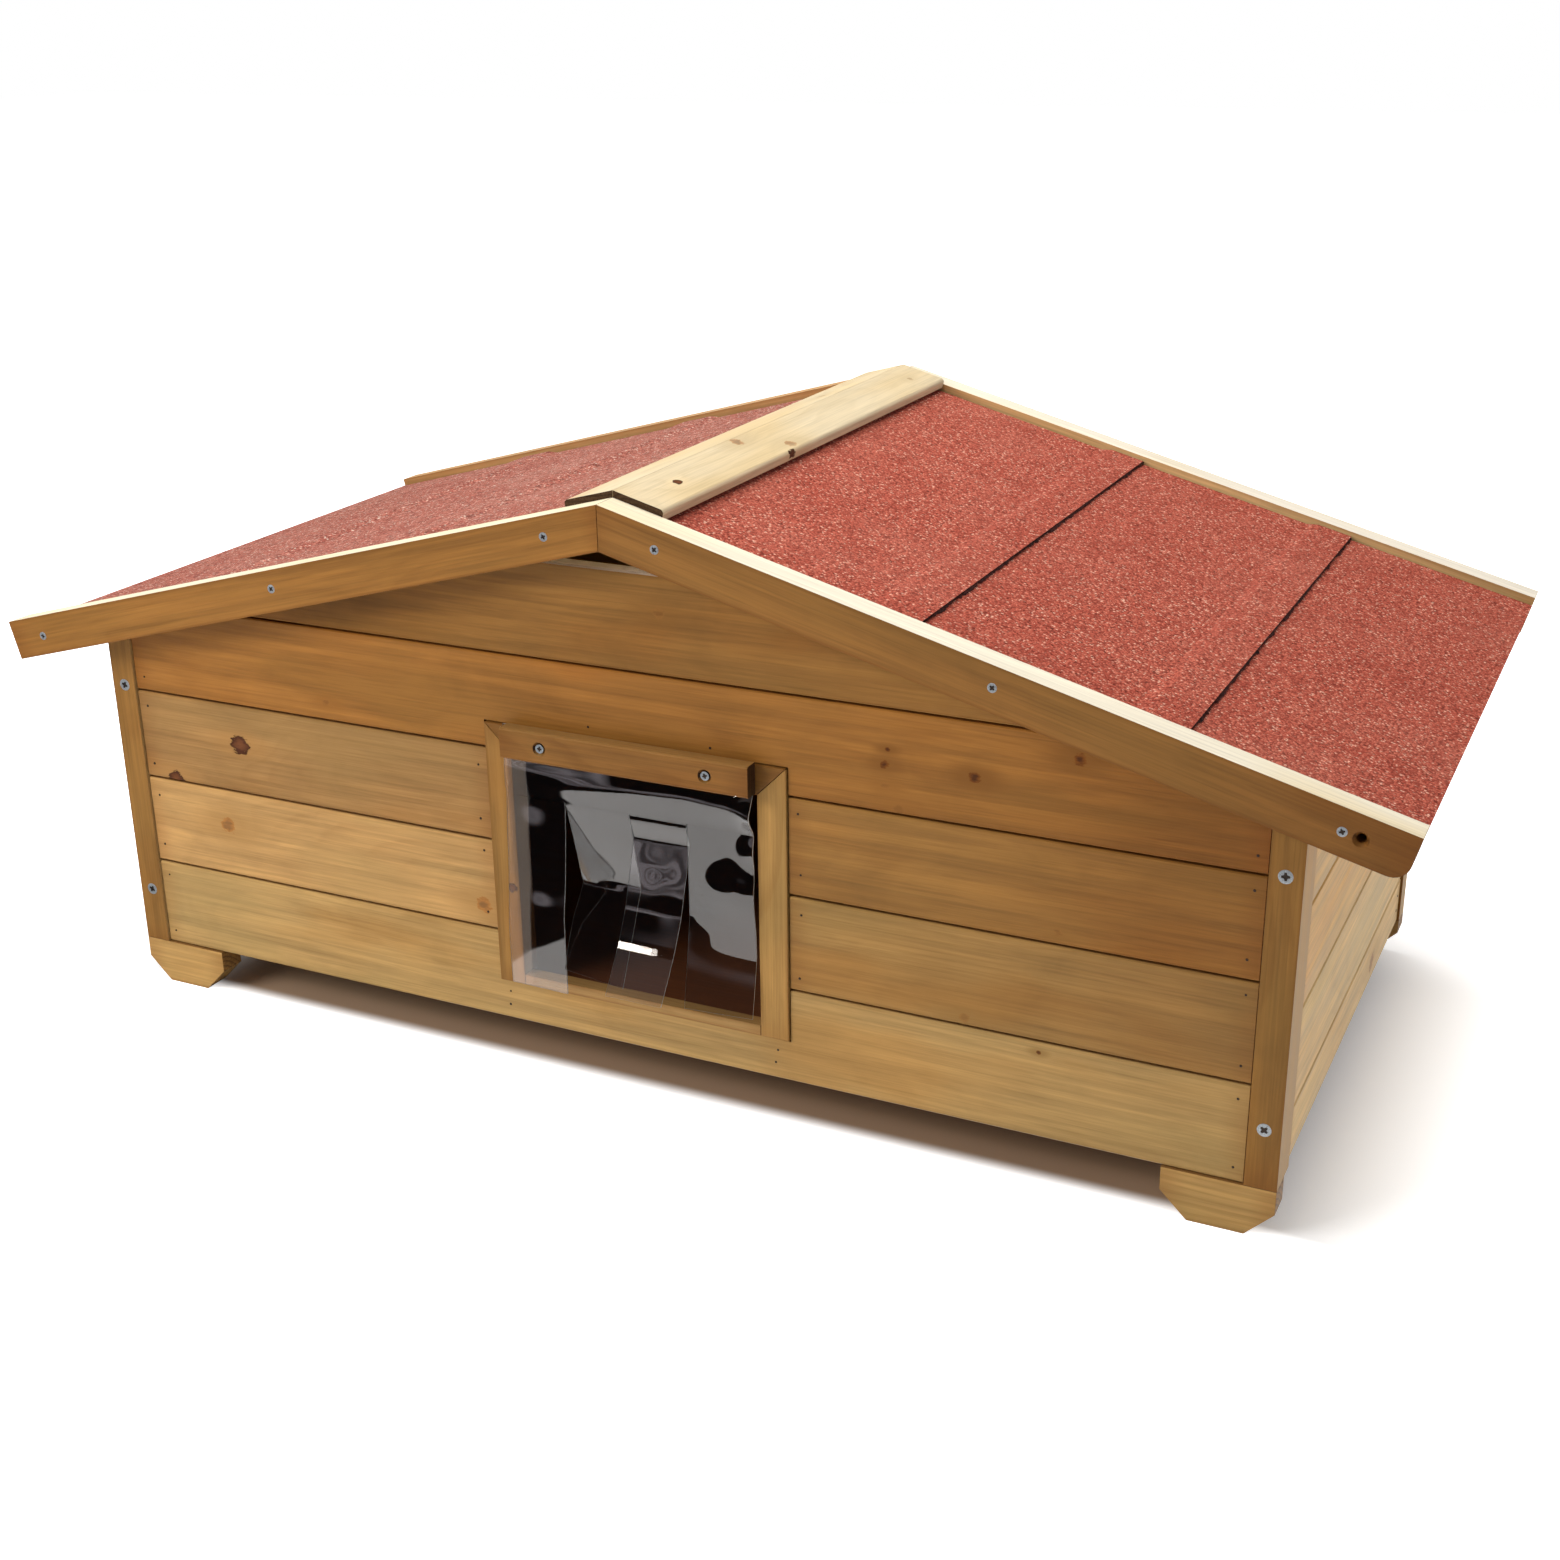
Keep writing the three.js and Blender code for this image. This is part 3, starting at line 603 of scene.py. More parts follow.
def felt(name, out, seed, shade=1.0):
    """Dresses a node in mineral felt, with a painted sheen: paler and blotchier where it is seen
    at a grazing angle.
    """
    g = Graph(name)
    place = g.place()
    warp = g.noise(place, 30.0, 2.0)
    cells = g.node("TexVoronoi", Vector=place, Scale=850.0)
    distance = cells.outputs["Distance"]
    pick = g.node("SeparateColor", cells.outputs["Color"])
    grain = g.ramp(
        pick.outputs[0],
        [
            (0.0, srgb(92, 42, 34)),
            (0.04, srgb(148, 66, 54)),
            (0.30, srgb(184, 90, 74)),
            (0.65, srgb(202, 106, 88)),
            (0.90, srgb(218, 132, 112)),
            (0.97, srgb(244, 196, 176)),
        ],
    )

    def spread(offset):
        return g.combine(g.dot(place, X), g.dot(place, Y), seed * offset)

    flat = spread(3.7)
    worn = g.noise(flat, 9.0, 4.0, 0.6)
    base = g.mix(g.ease(worn, 0.45, 0.78, 0.0, 0.40), grain, srgb(216, 142, 124))
    dusk = g.noise(flat, 26.0, 3.0, 0.6)
    base = g.mix(g.ease(dusk, 0.28, 0.5, 0.30, 0.0), base, srgb(158, 66, 52))
    clumps = g.noise(flat, 420.0, 3.0, 0.65)
    base = g.product(base, g.ramp(clumps, [(0.30, 0.58), (0.46, 0.97), (0.58, 1.02), (0.74, 1.2)]))
    pits = g.noise(flat, 240.0, 3.0, 0.75)
    base = g.mix(g.ease(pits, 0.30, 0.39, 0.85, 0.0), base, srgb(84, 30, 24))
    chalk = g.noise(spread(1.3), 520.0, 2.0, 0.6)
    base = g.mix(g.ease(chalk, 0.63, 0.74, 0.0, 0.55), base, srgb(240, 184, 164))
    # The slope's own direction is used here, so that a lap's step doesn't show as a streak.
    facing = g.node("LayerWeight", Blend=0.5, Normal=g.combine(*out))
    # Painted sheen: paler and blotchier where the slope is seen at a grazing angle.
    grazing = g.ease(facing.outputs["Facing"], 0.76, 0.92)
    mottle = g.noise(flat, 150.0, 4.0, 0.7)
    blotches = g.ramp(mottle, [(0.34, 0.40), (0.44, 0.86), (0.54, 1.0), (0.66, 1.35)])
    base = g.mix(grazing, base, g.product(base, blotches))
    facing_tint, grazing_sheen_tint = scaled((0.88, 0.78, 0.71), shade), scaled((0.78, 1.1, 1.15), shade)
    base = g.product(base, g.mix(grazing, facing_tint, grazing_sheen_tint))
    base = g.mix(g.times(g.ease(distance, 0.45, 0.75), 0.7), base, srgb(120, 52, 42))
    tar = g.mix(g.noise(place, 900.0, 1.0), srgb(22, 16, 15), srgb(70, 36, 31))
    base = g.mix(g.ease(g.dot(g.normal(), out), 0.45, 0.75), tar, base)
    height = g.minus(1.0, distance)
    height = g.times(height, g.ease(pick.outputs[1], 0.0, 1.0, 0.55, 1.0))
    height = g.plus(height, g.times(warp, 1.3))
    relief = g.bump(height, 0.0006, 0.8)
    g.set(Base_Color=base, Roughness=0.93, Specular_IOR_Level=0.3, Normal=relief)
    dress(name, g)


def dress_felt():
    for side, _, out in SLOPES:
        for index, part in enumerate(("upper", "middle", "lower")):
            name = f"{side}_felt_{part}"
            felt(name, out, 10 * index + len(side))
    # The ridge strip is darker: painted shade under the ridge boards.
    felt("ridge_felt_strip", Z, 77, 0.55)


# Waves of a lap line: how many to a metre, and their share in its width
LAP_WAVES = ((26, 0.5), (70, 0.35), (190, 0.3), (430, 0.25))
LAP_STATIONS = 220
# Lengths of a lap line in metres: how far it reaches under the sheet's edge, then its width, its
# wander down the slope and its rise, each with how much that varies
LAP_TUCK = 0.0006
LAP_WIDTH = (0.0006, 0.00055)
LAP_WANDER = (0.0006, 0.0002)
LAP_RISE = (0.0012, 0.0006)


def lap_line(name, upper, out, down, seed):
    """A ragged line of bitumen along the lower edge of a felt sheet."""
    rng = random.Random(seed)
    edge = span(upper, down)[1]
    down, out = Vector(down), Vector(out)
    low, high = span(upper, Y)
    reach = [v.co for v in nodes[upper].data.vertices if edge - v.co.dot(down) < 0.0004]
    height = min(point.dot(out) for point in reach)
    waves = []
    for frequency, share in LAP_WAVES:
        phase = rng.uniform(0, 2 * math.pi)
        waves.append((phase, rng.uniform(0.6, 1.4) * frequency, share))
    points = []
    for k in range(LAP_STATIONS):
        y = low + (high - low) * k / (LAP_STATIONS - 1)
        wobble = sum(share * math.sin(p + f * (y - low) * 2 * math.pi) for p, f, share in waves)
        width = LAP_WIDTH[0] + LAP_WIDTH[1] * max(-0.8, min(1.4, wobble + rng.uniform(-0.4, 0.4)))
        shift = LAP_WANDER[0] * math.sin(wobble * 2.2 + 40 * y)
        shift += rng.uniform(-LAP_WANDER[1], LAP_WANDER[1])
        rise = LAP_RISE[0] + LAP_RISE[1] * rng.random()
        base = down * (edge + shift) + out * height + Vector((0, y, 0))
        points += [
            base - down * LAP_TUCK,
            base + down * width,
            base + down * width * 0.7 + out * rise * 0.6,
            base - down * LAP_TUCK * (2 / 3) + out * rise,
        ]
    last = 4 * (LAP_STATIONS - 1)
    faces = [(3, 2, 1, 0), (last, last + 1, last + 2, last + 3)]
    for first in range(0, last, 4):
        for j in range(4):
            a = first + j
            b = first + (j + 1) % 4
            faces.append((a, b, b + 4, a + 4))
    return closed_mesh(name, [tuple(point) for point in points], faces)


def lay_lap_lines():
    stops = [(0.35, srgb(20, 14, 13)), (0.75, srgb(92, 44, 38))]
    tar = speckled("bitumen", (700.0, 3.0, 0.6), stops, (0.55, 0.85), (0.0003, 0.6))
    for side, down, out in SLOPES:
        for index, part in enumerate(("upper", "middle")):
            name = f"lap_line_{side}_{part}"
            seed = 60 + index + 7 * (side == "left")
            mesh = lap_line(name, f"{side}_felt_{part}", out, down, seed)
            add_object(name, mesh, "house", tar)


# Steel


def steel():
    stops = [(0.3, srgb(126, 132, 138)), (0.7, srgb(190, 197, 202))]
    return speckled("zinc_steel", (1400.0, 3.0, 0.6), stops, (0.28, 0.45), (0.00005, 0.4), 0.45)


# Dark steel for the nail heads; the same dark is painted shade on the floor of each screw's cross.
def dark_metal():
    stops = [(0.3, srgb(38, 30, 26)), (0.7, srgb(74, 62, 54))]
    return speckled("nail_steel_and_recess_shade", (900.0, 2.0), stops, (0.5, 0.75), (0.00005, 0.5), 0.5)


# Clear sheet


# Where the sheet leaves the left jamb, on X
JAMB_EDGE = (-0.0672, -0.0652)


def frosted_edge():
    stops = [(0.3, srgb(150, 149, 148)), (0.7, srgb(206, 205, 203))]
    return speckled("cut_pvc_edge", (900.0, 2.0), stops, (0.35, 0.6), (0.0001, 0.4))


def clear_sheet():
    g = Graph("clear_pvc")
    place = g.place()
    x = g.dot(place, X)
    smear = g.noise(place, 26.0, 3.0, 0.6)
    clear = g.ramp(smear, [(0.3, (0.93, 0.94, 0.95, 1)), (0.7, (0.98, 0.98, 0.98, 1))])
    # The margin that rests on the left jamb gets a whitish, warm veil: a painted haze standing in
    # for the reflection over the jamb.
    g.set(
        Base_Color=g.mix(g.ease(x, *JAMB_EDGE, 1.0, 0.0), clear, (1.0, 0.90, 0.80, 1)),
        Transmission_Weight=g.ease(x, *JAMB_EDGE, 0.95, 1.0),
        Roughness=g.ease(smear, 0.45, 0.8, 0.004, 0.02),
        IOR=1.72,
        Normal=g.bump(g.noise(place, 16.0, 1.0), 0.0012, 0.25),
    )
    # Light passes the thin sheet nearly straight, so its shadow is faint.
    in_shadow = g.node("LightPath").outputs["Is Shadow Ray"]
    through = g.node("BsdfTransparent", Color=grey(0.88)).outputs[0]
    g.surface(g.mix_shaders(in_shadow, g.shader.outputs[0], through))
    return g.material


# Meshes


def add_object(name, mesh, body, material):
    made = link(bpy.data.objects.new(name, mesh))
    mesh.materials.clear()
    mesh.materials.append(material)
    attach(made, body)
    return made


def link(made):
    bpy.context.scene.collection.objects.link(made)
    return made


def mesh_of(made, mesh):
    """Moves a bmesh into a mesh."""
    made.to_mesh(mesh)
    made.free()
    return mesh


def closed_mesh(name, points, faces):
    """A mesh whose faces all look outward."""
    mesh = bpy.data.meshes.new(name)
    mesh.from_pydata(points, [], faces)
    made = bmesh.new()
    made.from_mesh(mesh)
    bmesh.ops.recalc_face_normals(made, faces=made.faces)
    return mesh_of(made, mesh)


def smooth(mesh, angle):
    """Smooth shading, but for edges sharper than the angle in degrees."""
    for polygon in mesh.polygons:
        polygon.use_smooth = True
    mesh.set_sharp_from_angle(angle=math.radians(angle))
    return mesh


def smoothed_profile(points, drops, reach):
    """Depths at the given drops, along a line through the points that is rounded over reach."""
    margin = 12
    fine = np.linspace(points[0][0] - margin, points[-1][0] + margin, 1400)
    known = np.interp(fine, [p[0] for p in points], [p[1] for p in points])
    first = (points[1][1] - points[0][1]) / (points[1][0] - points[0][0])
    last = (points[-1][1] - points[-2][1]) / (points[-1][0] - points[-2][0])
    known += np.minimum(fine - points[0][0], 0) * first
    known += np.maximum(fine - points[-1][0], 0) * last
    width = max(2, int(reach / (fine[1] - fine[0])))
    window = np.hanning(2 * width + 3)
    soft = np.convolve(known, window / window.sum(), "same")
    return np.interp(drops, fine, soft)


def dent(grid, dimples, strength=1.0):
    """Pushes round dents into a grid in mm. A dimple is its x, drop, two radii and depth."""
    for x, drop, radius_x, radius_z, depth in dimples:
        far = ((grid[:, :, 0] - x) / radius_x) ** 2 + ((-grid[:, :, 2] - drop) / radius_z) ** 2
        grid[:, :, 1] += depth * strength * np.exp(-far)


def strip_mesh(name, left, right, reach, dimples, sway):
    """A hanging strip between two edges. An edge is its x and a list of drop and depth, in mm.

    Depth is measured rearward from the face of the posts. The drop runs along the sheet.
    """
    rows, columns = STRIP_GRID
    drops = np.linspace(left[1][0][0], left[1][-1][0], rows)
    edges = []
    for x, points in (left, right):
        depth = smoothed_profile(points, drops, reach)
        steps = np.diff(drops) ** 2 - np.diff(depth) ** 2
        fall = np.concatenate([[0], np.cumsum(np.sqrt(np.maximum(steps, 1e-9)))])
        edges.append((x, depth, -fall))
    grid = np.zeros((rows, columns, 3))
    share = np.linspace(0, 1, columns)[None, :]
    for axis in range(3):
        first, second = (np.reshape(edge[axis], (-1, 1)) for edge in edges)
        grid[:, :, axis] = first * (1 - share) + second * share
    drop = -grid[:, :, 2]
    dent(grid, dimples)
    grid[:, :, 0] += sway * (np.maximum(drop, 0) / 100) ** 1.6
    return sheet_mesh(name, grid, "top")


def sheet_mesh(name, grid, open_row):
    """A thin solid sheet about a grid of points in mm, measured from the hinge line.

    It has no rim along its open row, where it meets the rest of the sheet.
    """
    grid = grid * MM + np.array([0, FRONT, HINGE_HEIGHT])
    rows, columns = grid.shape[:2]
    across = np.gradient(grid, axis=1)
    down = np.gradient(grid, axis=0)
    normal = np.cross(across, down)
    normal /= np.linalg.norm(normal, axis=2)[:, :, None]
    half = normal * SHEET_THICKNESS / 2
    points = np.concatenate([(grid + half).reshape(-1, 3), (grid - half).reshape(-1, 3)])
    offset = rows * columns
    faces = []
    for i in range(rows - 1):
        for j in range(columns - 1):
            a = i * columns + j
            quad = (a, a + 1, a + 1 + columns, a + columns)
            faces.append(quad)
            faces.append(tuple(q + offset for q in reversed(quad)))
    last_row = (rows - 1) * columns
    sides = {
        "top": list(range(columns)),
        "right": list(range(columns - 1, rows * columns, columns)),
        "bottom": list(range(rows * columns - 1, last_row - 1, -1)),
        "left": list(range(last_row, -1, -columns)),
    }
    for side, line in sides.items():
        if side == open_row:
            continue
        for a, b in zip(line, line[1:]):
            faces.append((b, a, a + offset, b + offset))
    mesh = bpy.data.meshes.new(name)
    mesh.from_pydata(points.tolist(), [], faces)
    mesh.update()
    return smooth(mesh, 50)


# The clear sheet, in metres; what follows is in mm: drops down from the hinge line, and depths
# rearward from the face of the posts
SHEET_THICKNESS = 0.0007
# Depth of the fold between the header and the strips, which is the strips' joint axis
FOLD_DEPTH = -1.05
# How the depth changes per mm of drop at the five edges of the strips, from left to right
SLIT_SLOPES = [-0.07, 0.22, 0.16, 0.06, 0.02]
# Rows and columns of the sheets' grids
STRIP_GRID = (90, 20)
HEADER_GRID = (44, 49)
# Each strip's left and right edge below the fold, as drop along the sheet and depth
STRIP_EDGES = [
    (
        [(40, -3.35), (78, -7.15), (90, -7.45), (116.6, -7.05)],
        [(20, -1.75), (35, -3.35), (51, -5.35), (68, -8.35), (85, -8.55), (116.6, -8.55)],
    ),
    (
        [
            (10, 1.75), (31, 7.65), (48, 12.45), (57, 14.85),
            (63, 11.45), (78, 2.25), (92, -3.75), (108.7, -9.25),
        ],
        [
            (10, 1.35), (31, 5.65), (46, 9.45), (51, 10.35),
            (57, 7.45), (78, -0.95), (92, -6.95), (108.7, -13.95),
        ],
    ),
    (
        [
            (2.6, -1.25), (15.5, 3.25), (17, 3.05), (30, 0.45), (46, -2.75),
            (57, -4.45), (76, -9.9), (81, -11.6), (108.7, -22.1),
        ],
        [
            (2.6, -1.35), (14.5, 2.75), (16, 2.55), (30, 0.05), (46, -2.85),
            (57, -4.45), (76, -9.7), (81, -11.3), (108.7, -21.6),
        ],
    ),
    (
        [(20, -0.95), (52, -0.75), (60, -1.75), (80, -5.35), (108.7, -10.65)],
        [(12, -0.85), (30, -0.75), (60, -0.15), (74, -0.25), (82, -1.65), (108.7, -6.75)],
    ),
]
# Each strip's length over which its bends are rounded, its sway to the right at a drop of
# 100, and its dents as x, drop, radius across, radius down and depth
ROUNDING = [6.0, 1.6, 0.9, 5.0]
SWAY = [0.0, -1.0, -8.0, 0.0]
DIMPLES = [
    [(-66, 22, 14, 16, -1.6), (-60, 52, 12, 14, 1.0)],
    [(-36, 46, 8, 12, -0.7)],
    [(14, 28, 7, 10, 0.5), (26, 40, 7, 12, -0.5)],
    [(67, 39, 19, 16, -2.8), (79, 10, 9, 8, -2.6)],
]
# The header: its part under the batten, where it bulges below that at the five edges and how
# deep, and its dents
CLAMPED_LENGTH = 14.3
CLAMPED_DEPTH = -1.05
BULGE_DROPS = [-5.0, -10.5, -14.5, -16.0, -13.0]
BULGE_DEPTHS = [-2.15, -3.9, -4.83, -4.4, -4.9]
HEADER_ROUNDING = 2.5
HEADER_DIMPLES = [(-62, -16, 24, 4.5, -0.75), (79, -10, 9, 8, -4.0)]


def add_sheet(name, mesh, body, materials, node):
    """A sheet that replaces a node, with the second material on its cut edges."""
    made = add_object(name, mesh, body, materials[0])
    mesh.materials.append(materials[1])
    offset = len(mesh.vertices) // 2
    for polygon in mesh.polygons:
        if min(polygon.vertices) < offset <= max(polygon.vertices):
            polygon.material_index = 1
    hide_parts(node)


def hang_flap():
    """One clear sheet, slit into four strips below its clamped upper edge."""
    materials = clear_sheet(), frosted_edge()
    boxes = [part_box(f"flap_strip_{n}") for n in range(1, 5)]
    for index, profiles in enumerate(STRIP_EDGES):
        edges = []
        for side, points in enumerate(profiles):
            slope = SLIT_SLOPES[index + side]
            start = [(0, FOLD_DEPTH), (2, FOLD_DEPTH + 2 * slope)]
            edges.append((boxes[index][side].x / MM, start + points))
        name = f"clear_strip_{index + 1}"
        mesh = strip_mesh(name, *edges, ROUNDING[index], DIMPLES[index], SWAY[index])
        node = f"flap_strip_{index + 1}"
        add_sheet(name, mesh, node, materials, node)
    hang_header(materials, boxes)


def hang_header(materials, boxes):
    """The sheet's upper edge, clamped under the batten and bulging a little below it."""
    low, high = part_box("flap_header")
    # It stays just inside the CAD header's upper edge, and just above the fold.
    rise = (high.z - HINGE_HEIGHT) / MM - 0.2
    clamped = -rise + CLAMPED_LENGTH
    stations = [low.x / MM] + [box[0].x / MM for box in boxes[1:]] + [high.x / MM]
    rows, columns = HEADER_GRID
    xs = np.linspace(stations[0], stations[-1], columns)
    drops = np.linspace(-rise, -0.02, rows)
    grid = np.zeros((rows, columns, 3))
    for j, x in enumerate(xs):
        slope = np.interp(x, stations, SLIT_SLOPES)
        points = [
            (-rise, CLAMPED_DEPTH),
            (clamped, CLAMPED_DEPTH),
            (np.interp(x, stations, BULGE_DROPS), np.interp(x, stations, BULGE_DEPTHS)),
            (-2, FOLD_DEPTH - 2 * slope),
            (0, FOLD_DEPTH),
        ]
        grid[:, j, 1] = smoothed_profile(points, drops, HEADER_ROUNDING)
    grid[:, :, 0] = xs[None, :]
    grid[:, :, 2] = -drops[:, None]
    # The batten holds the sheet flat, so the dents start below it.
    dent(grid, HEADER_DIMPLES, np.clip((drops - clamped) / 6, 0, 1)[:, None])
    mesh = sheet_mesh("clear_header", grid, "bottom")
    add_sheet("clear_header", mesh, "house", materials, "flap_header")


# Screws and nails, in metres


# How far a screw's head stands out, and how deep its cross goes
HEAD_RISE = 0.00012
CROSS_DEPTH = 0.0003
HEAD_CORNERS = 40
CLAMP_SCREW_RADIUS = 0.0026
# Other screws: their radius, their places as x and z, and the front and rear face they sit in
SCREWS = {
    "post": (
        0.0037,
        ((-0.3576, 0.2021), (-0.3576, 0.0640), (0.3576, 0.2017), (0.3576, 0.0627)),
        (FRONT, BACK),
    ),
    "barge": (
        0.0025,
        (
            (-0.3947, 0.2359), (-0.2153, 0.2858), (-0.0328, 0.3344),
            (0.0330, 0.3343), (0.2158, 0.2851), (0.3856, 0.2390),
        ),
        (BARGE_FRONT, BARGE_BACK),
    ),
}
NAIL_RADIUS = 0.00085
NAIL_LENGTH = 0.0004
NAIL_PROUD = 0.00003
NAIL_LEAN = 0.00004
# Where a board's nails are: in from its end, up from its lower edge and down from the joint
# above it, and how far they stray along and up
NAIL_INSET = 0.0062
NAIL_UP = 0.010
NAIL_DOWN = 0.009
NAIL_STRAY = (0.0008, 0.0025)
# The most of a board's height that counts for its nails
NAILED_HEIGHT = 0.0555
# Nails round the doorway, as x and z
DOOR_NAILS = (
    (-0.0267, 0.2217), (0.0487, 0.2206), (-0.0889, 0.0463),
    (-0.0895, 0.0375), (0.0866, 0.0463), (0.0852, 0.0384),
)
WALL_FACINGS = {"front": (0, -1, 0), "rear": (0, 1, 0), "left": (-1, 0, 0), "right": (1, 0, 0)}


def cross_outline(radius, turn):
    """Corners of a four-armed cross, counted round, in the plane of x and z."""
    arm = 0.60 * radius
    waist = 0.19 * radius
    corners = []
    for k in range(4):
        angle = turn + k * math.pi / 2
        direction = Vector((math.cos(angle), 0, math.sin(angle)))
        side = Vector((-math.sin(angle), 0, math.cos(angle)))
        corners.append(direction * arm - side * waist * 0.8)
        corners.append(direction * arm + side * waist * 0.8)
        corners.append(direction * waist * 1.3 + side * waist * 1.3)
    return corners


def looped(items):
    """Each item with the one after it, and the last with the first."""
    return list(zip(items, items[1:] + items[:1]))


def screw_mesh(name, radius, turn):
    """A cross-head screw's visible head, facing -Y, with its rim at y = 0 and an open cross."""
    made = bmesh.new()
    profile = [(0.97, CROSS_DEPTH), (1.0, 0.0), (0.97, -HEAD_RISE / 2), (0.80, -HEAD_RISE)]
    rings = []
    for share, y in profile:
        ring = []
        for k in range(HEAD_CORNERS):
            angle = 2 * math.pi * k / HEAD_CORNERS
            x, z = radius * share * math.cos(angle), radius * share * math.sin(angle)
            ring.append(made.verts.new((x, y, z)))
        rings.append(ring)
    cross = cross_outline(radius, turn)
    top = [made.verts.new(corner + Vector((0, -HEAD_RISE, 0))) for corner in cross]
    low = [made.verts.new(corner * 0.97 + Vector((0, CROSS_DEPTH, 0))) for corner in cross]
    for a, b in [*zip(rings, rings[1:]), (top, low)]:
        for (a1, a2), (b1, b2) in zip(looped(a), looped(b)):
            made.faces.new((a1, a2, b2, b1))
    for outer, inner in ((rings[-1], top), (rings[0], low)):
        edges = [made.edges.get(pair) for pair in looped(outer) + looped(inner)]
        bmesh.ops.triangle_fill(made, use_beauty=True, edges=edges)
    bmesh.ops.recalc_face_normals(made, faces=made.faces)
    return smooth(mesh_of(made, bpy.data.meshes.new(name)), 40)


def recess_mesh(name, radius, turn):
    """The floor of a screw's cross, facing -Y."""
    corners = [tuple(corner * 0.985) for corner in cross_outline(radius, turn)]
    depth = [(x, y + 0.0002, z) for x, y, z in corners]
    count = len(corners)
    front = list(range(count))
    back = [k + count for k in reversed(front)]
    sides = [(a, b, b + count, a + count) for a, b in looped(front)]
    return closed_mesh(name, corners + depth, [front, back] + sides)


def drive_screws():
    """Screws of the flap clamp, the corner posts and the barge boards, front and rear."""
    bright = steel()
    shade = dark_metal()
    places = []
    for side in ("left", "right"):
        node = f"flap_clamp_screw_{side}"
        low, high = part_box(node)
        middle = (low + high) / 2
        place = (middle.x, low.y + HEAD_RISE, middle.z)
        places.append((f"clamp_screw_{side}", place, 1, CLAMP_SCREW_RADIUS, node))
    for kind, (radius, spots, (front, back)) in SCREWS.items():
        for index, (x, z) in enumerate(spots):
            places.append((f"{kind}_screw_front_{index + 1}", (x, front, z), 1, radius, None))
            places.append((f"{kind}_screw_rear_{index + 1}", (x, back, z), -1, radius, None))
    rng = random.Random(900)
    for name, place, facing, radius, node in places:
        turn = rng.uniform(0, math.pi / 2)
        # Each cross gets a dark floor: painted shade in the cross.
        parts = (
            (name, screw_mesh(name, radius, turn), bright, 0.0),
            (f"{name}_recess", recess_mesh(f"{name}_recess", radius, turn), shade, -0.00002),
        )
        for part_name, mesh, material, proud in parts:
            mesh.transform(Matrix.Translation((0, proud, 0)))
            if facing < 0:
                mesh.transform(Matrix.Rotation(math.pi, 4, "Z"))
            mesh.transform(Matrix.Translation(place))
            made = add_object(part_name, mesh, "house", material)
            if node and part_name == name:
                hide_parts(node)


def nail_spots(wall, facing, rng):
    """Points for nail heads, two to a board end of one wall. The gable boards have none."""
    spots = []
    lengthwise = 0 if wall in ("front", "rear") else 1
    for name in sorted(nodes):
        if not name.startswith(wall) or "_board" not in name or "barge" in name or "gable" in name:
            continue
        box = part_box(name)
        low, high = box
        face = box[sum(facing) > 0][1 - lengthwise]
        bottom = low.z + NAIL_UP
        top = min(high.z - TONGUE, low.z + NAILED_HEIGHT) - NAIL_DOWN
        for end, step in ((low[lengthwise], 1), (high[lengthwise], -1)):
            for z in (bottom, top):
                along = end + step * (NAIL_INSET + rng.uniform(-NAIL_STRAY[0], NAIL_STRAY[0]))
                height = z + rng.uniform(-NAIL_STRAY[1], NAIL_STRAY[1])
                spots.append((face, along, height) if lengthwise else (along, face, height))
    return spots


def drive_nails():
    material = dark_metal()
    place_rng = random.Random(31)
    spots = {wall: nail_spots(wall, way, place_rng) for wall, way in WALL_FACINGS.items()}
    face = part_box("front_top_board")[0].y
    spots["front"] += [(x, face, z) for x, z in DOOR_NAILS]
    rng = random.Random(32)
    for wall, points in spots.items():
        facing = Vector(WALL_FACINGS[wall])
        turn = facing.to_track_quat("Z", "Y").to_matrix().to_4x4()
        made = bmesh.new()
        for point in points:
            radius = NAIL_RADIUS * rng.uniform(0.85, 1.15)
            place = Matrix.Translation(Vector(point) + facing * NAIL_PROUD) @ turn
            shape = {"radius1": radius, "radius2": radius * 0.75, "depth": NAIL_LENGTH}
            head = bmesh.ops.create_cone(made, cap_ends=True, segments=12, matrix=place, **shape)
            for vertex in head["verts"]:
                vertex.co += facing * rng.uniform(-NAIL_LEAN, NAIL_LEAN)
        name = f"nail_heads_{wall}"
        mesh = smooth(mesh_of(made, bpy.data.meshes.new(name)), 40)
        add_object(name, mesh, "house", material)


# Stage: camera, floor, light


# The camera as solved from the photo: its place, and its three ways in the frame
CAMERA_PLACE = (0.52752, -1.09983, 0.60357)
CAMERA_RIGHT = Vector((0.9030699, 0.4293258, -0.012008))
CAMERA_DOWN = Vector((0.1463496, -0.3338853, -0.9311833))
CAMERA_AHEAD = Vector((-0.4037903, 0.8391662, -0.3643534))
SENSOR_WIDTH = 36
FOCAL_LENGTH = 47.277

WORLD_LIGHT = 0.29
FLOOR_REACH = 9.0
FLOOR_WHITE = 0.90
FLOOR_GLOW = 0.95
# Painted shadow: the floor's colour as seen under the house, from its front towards its middle
FLOOR_UNDER_SHADOW = [
    (0.0, (0.38, 0.26, 0.17, 1)),
    (0.10, (0.30, 0.21, 0.13, 1)),
    (0.32, (0.19, 0.13, 0.08, 1)),
    (0.63, (0.11, 0.07, 0.042, 1)),
    (1.0, (0.062, 0.038, 0.021, 1)),
]
# A faint brown glow in that painted shadow, standing in for light bounced off the house
FLOOR_SHADOW_GLOW = (0.018, 0.0115, 0.0075, 1)
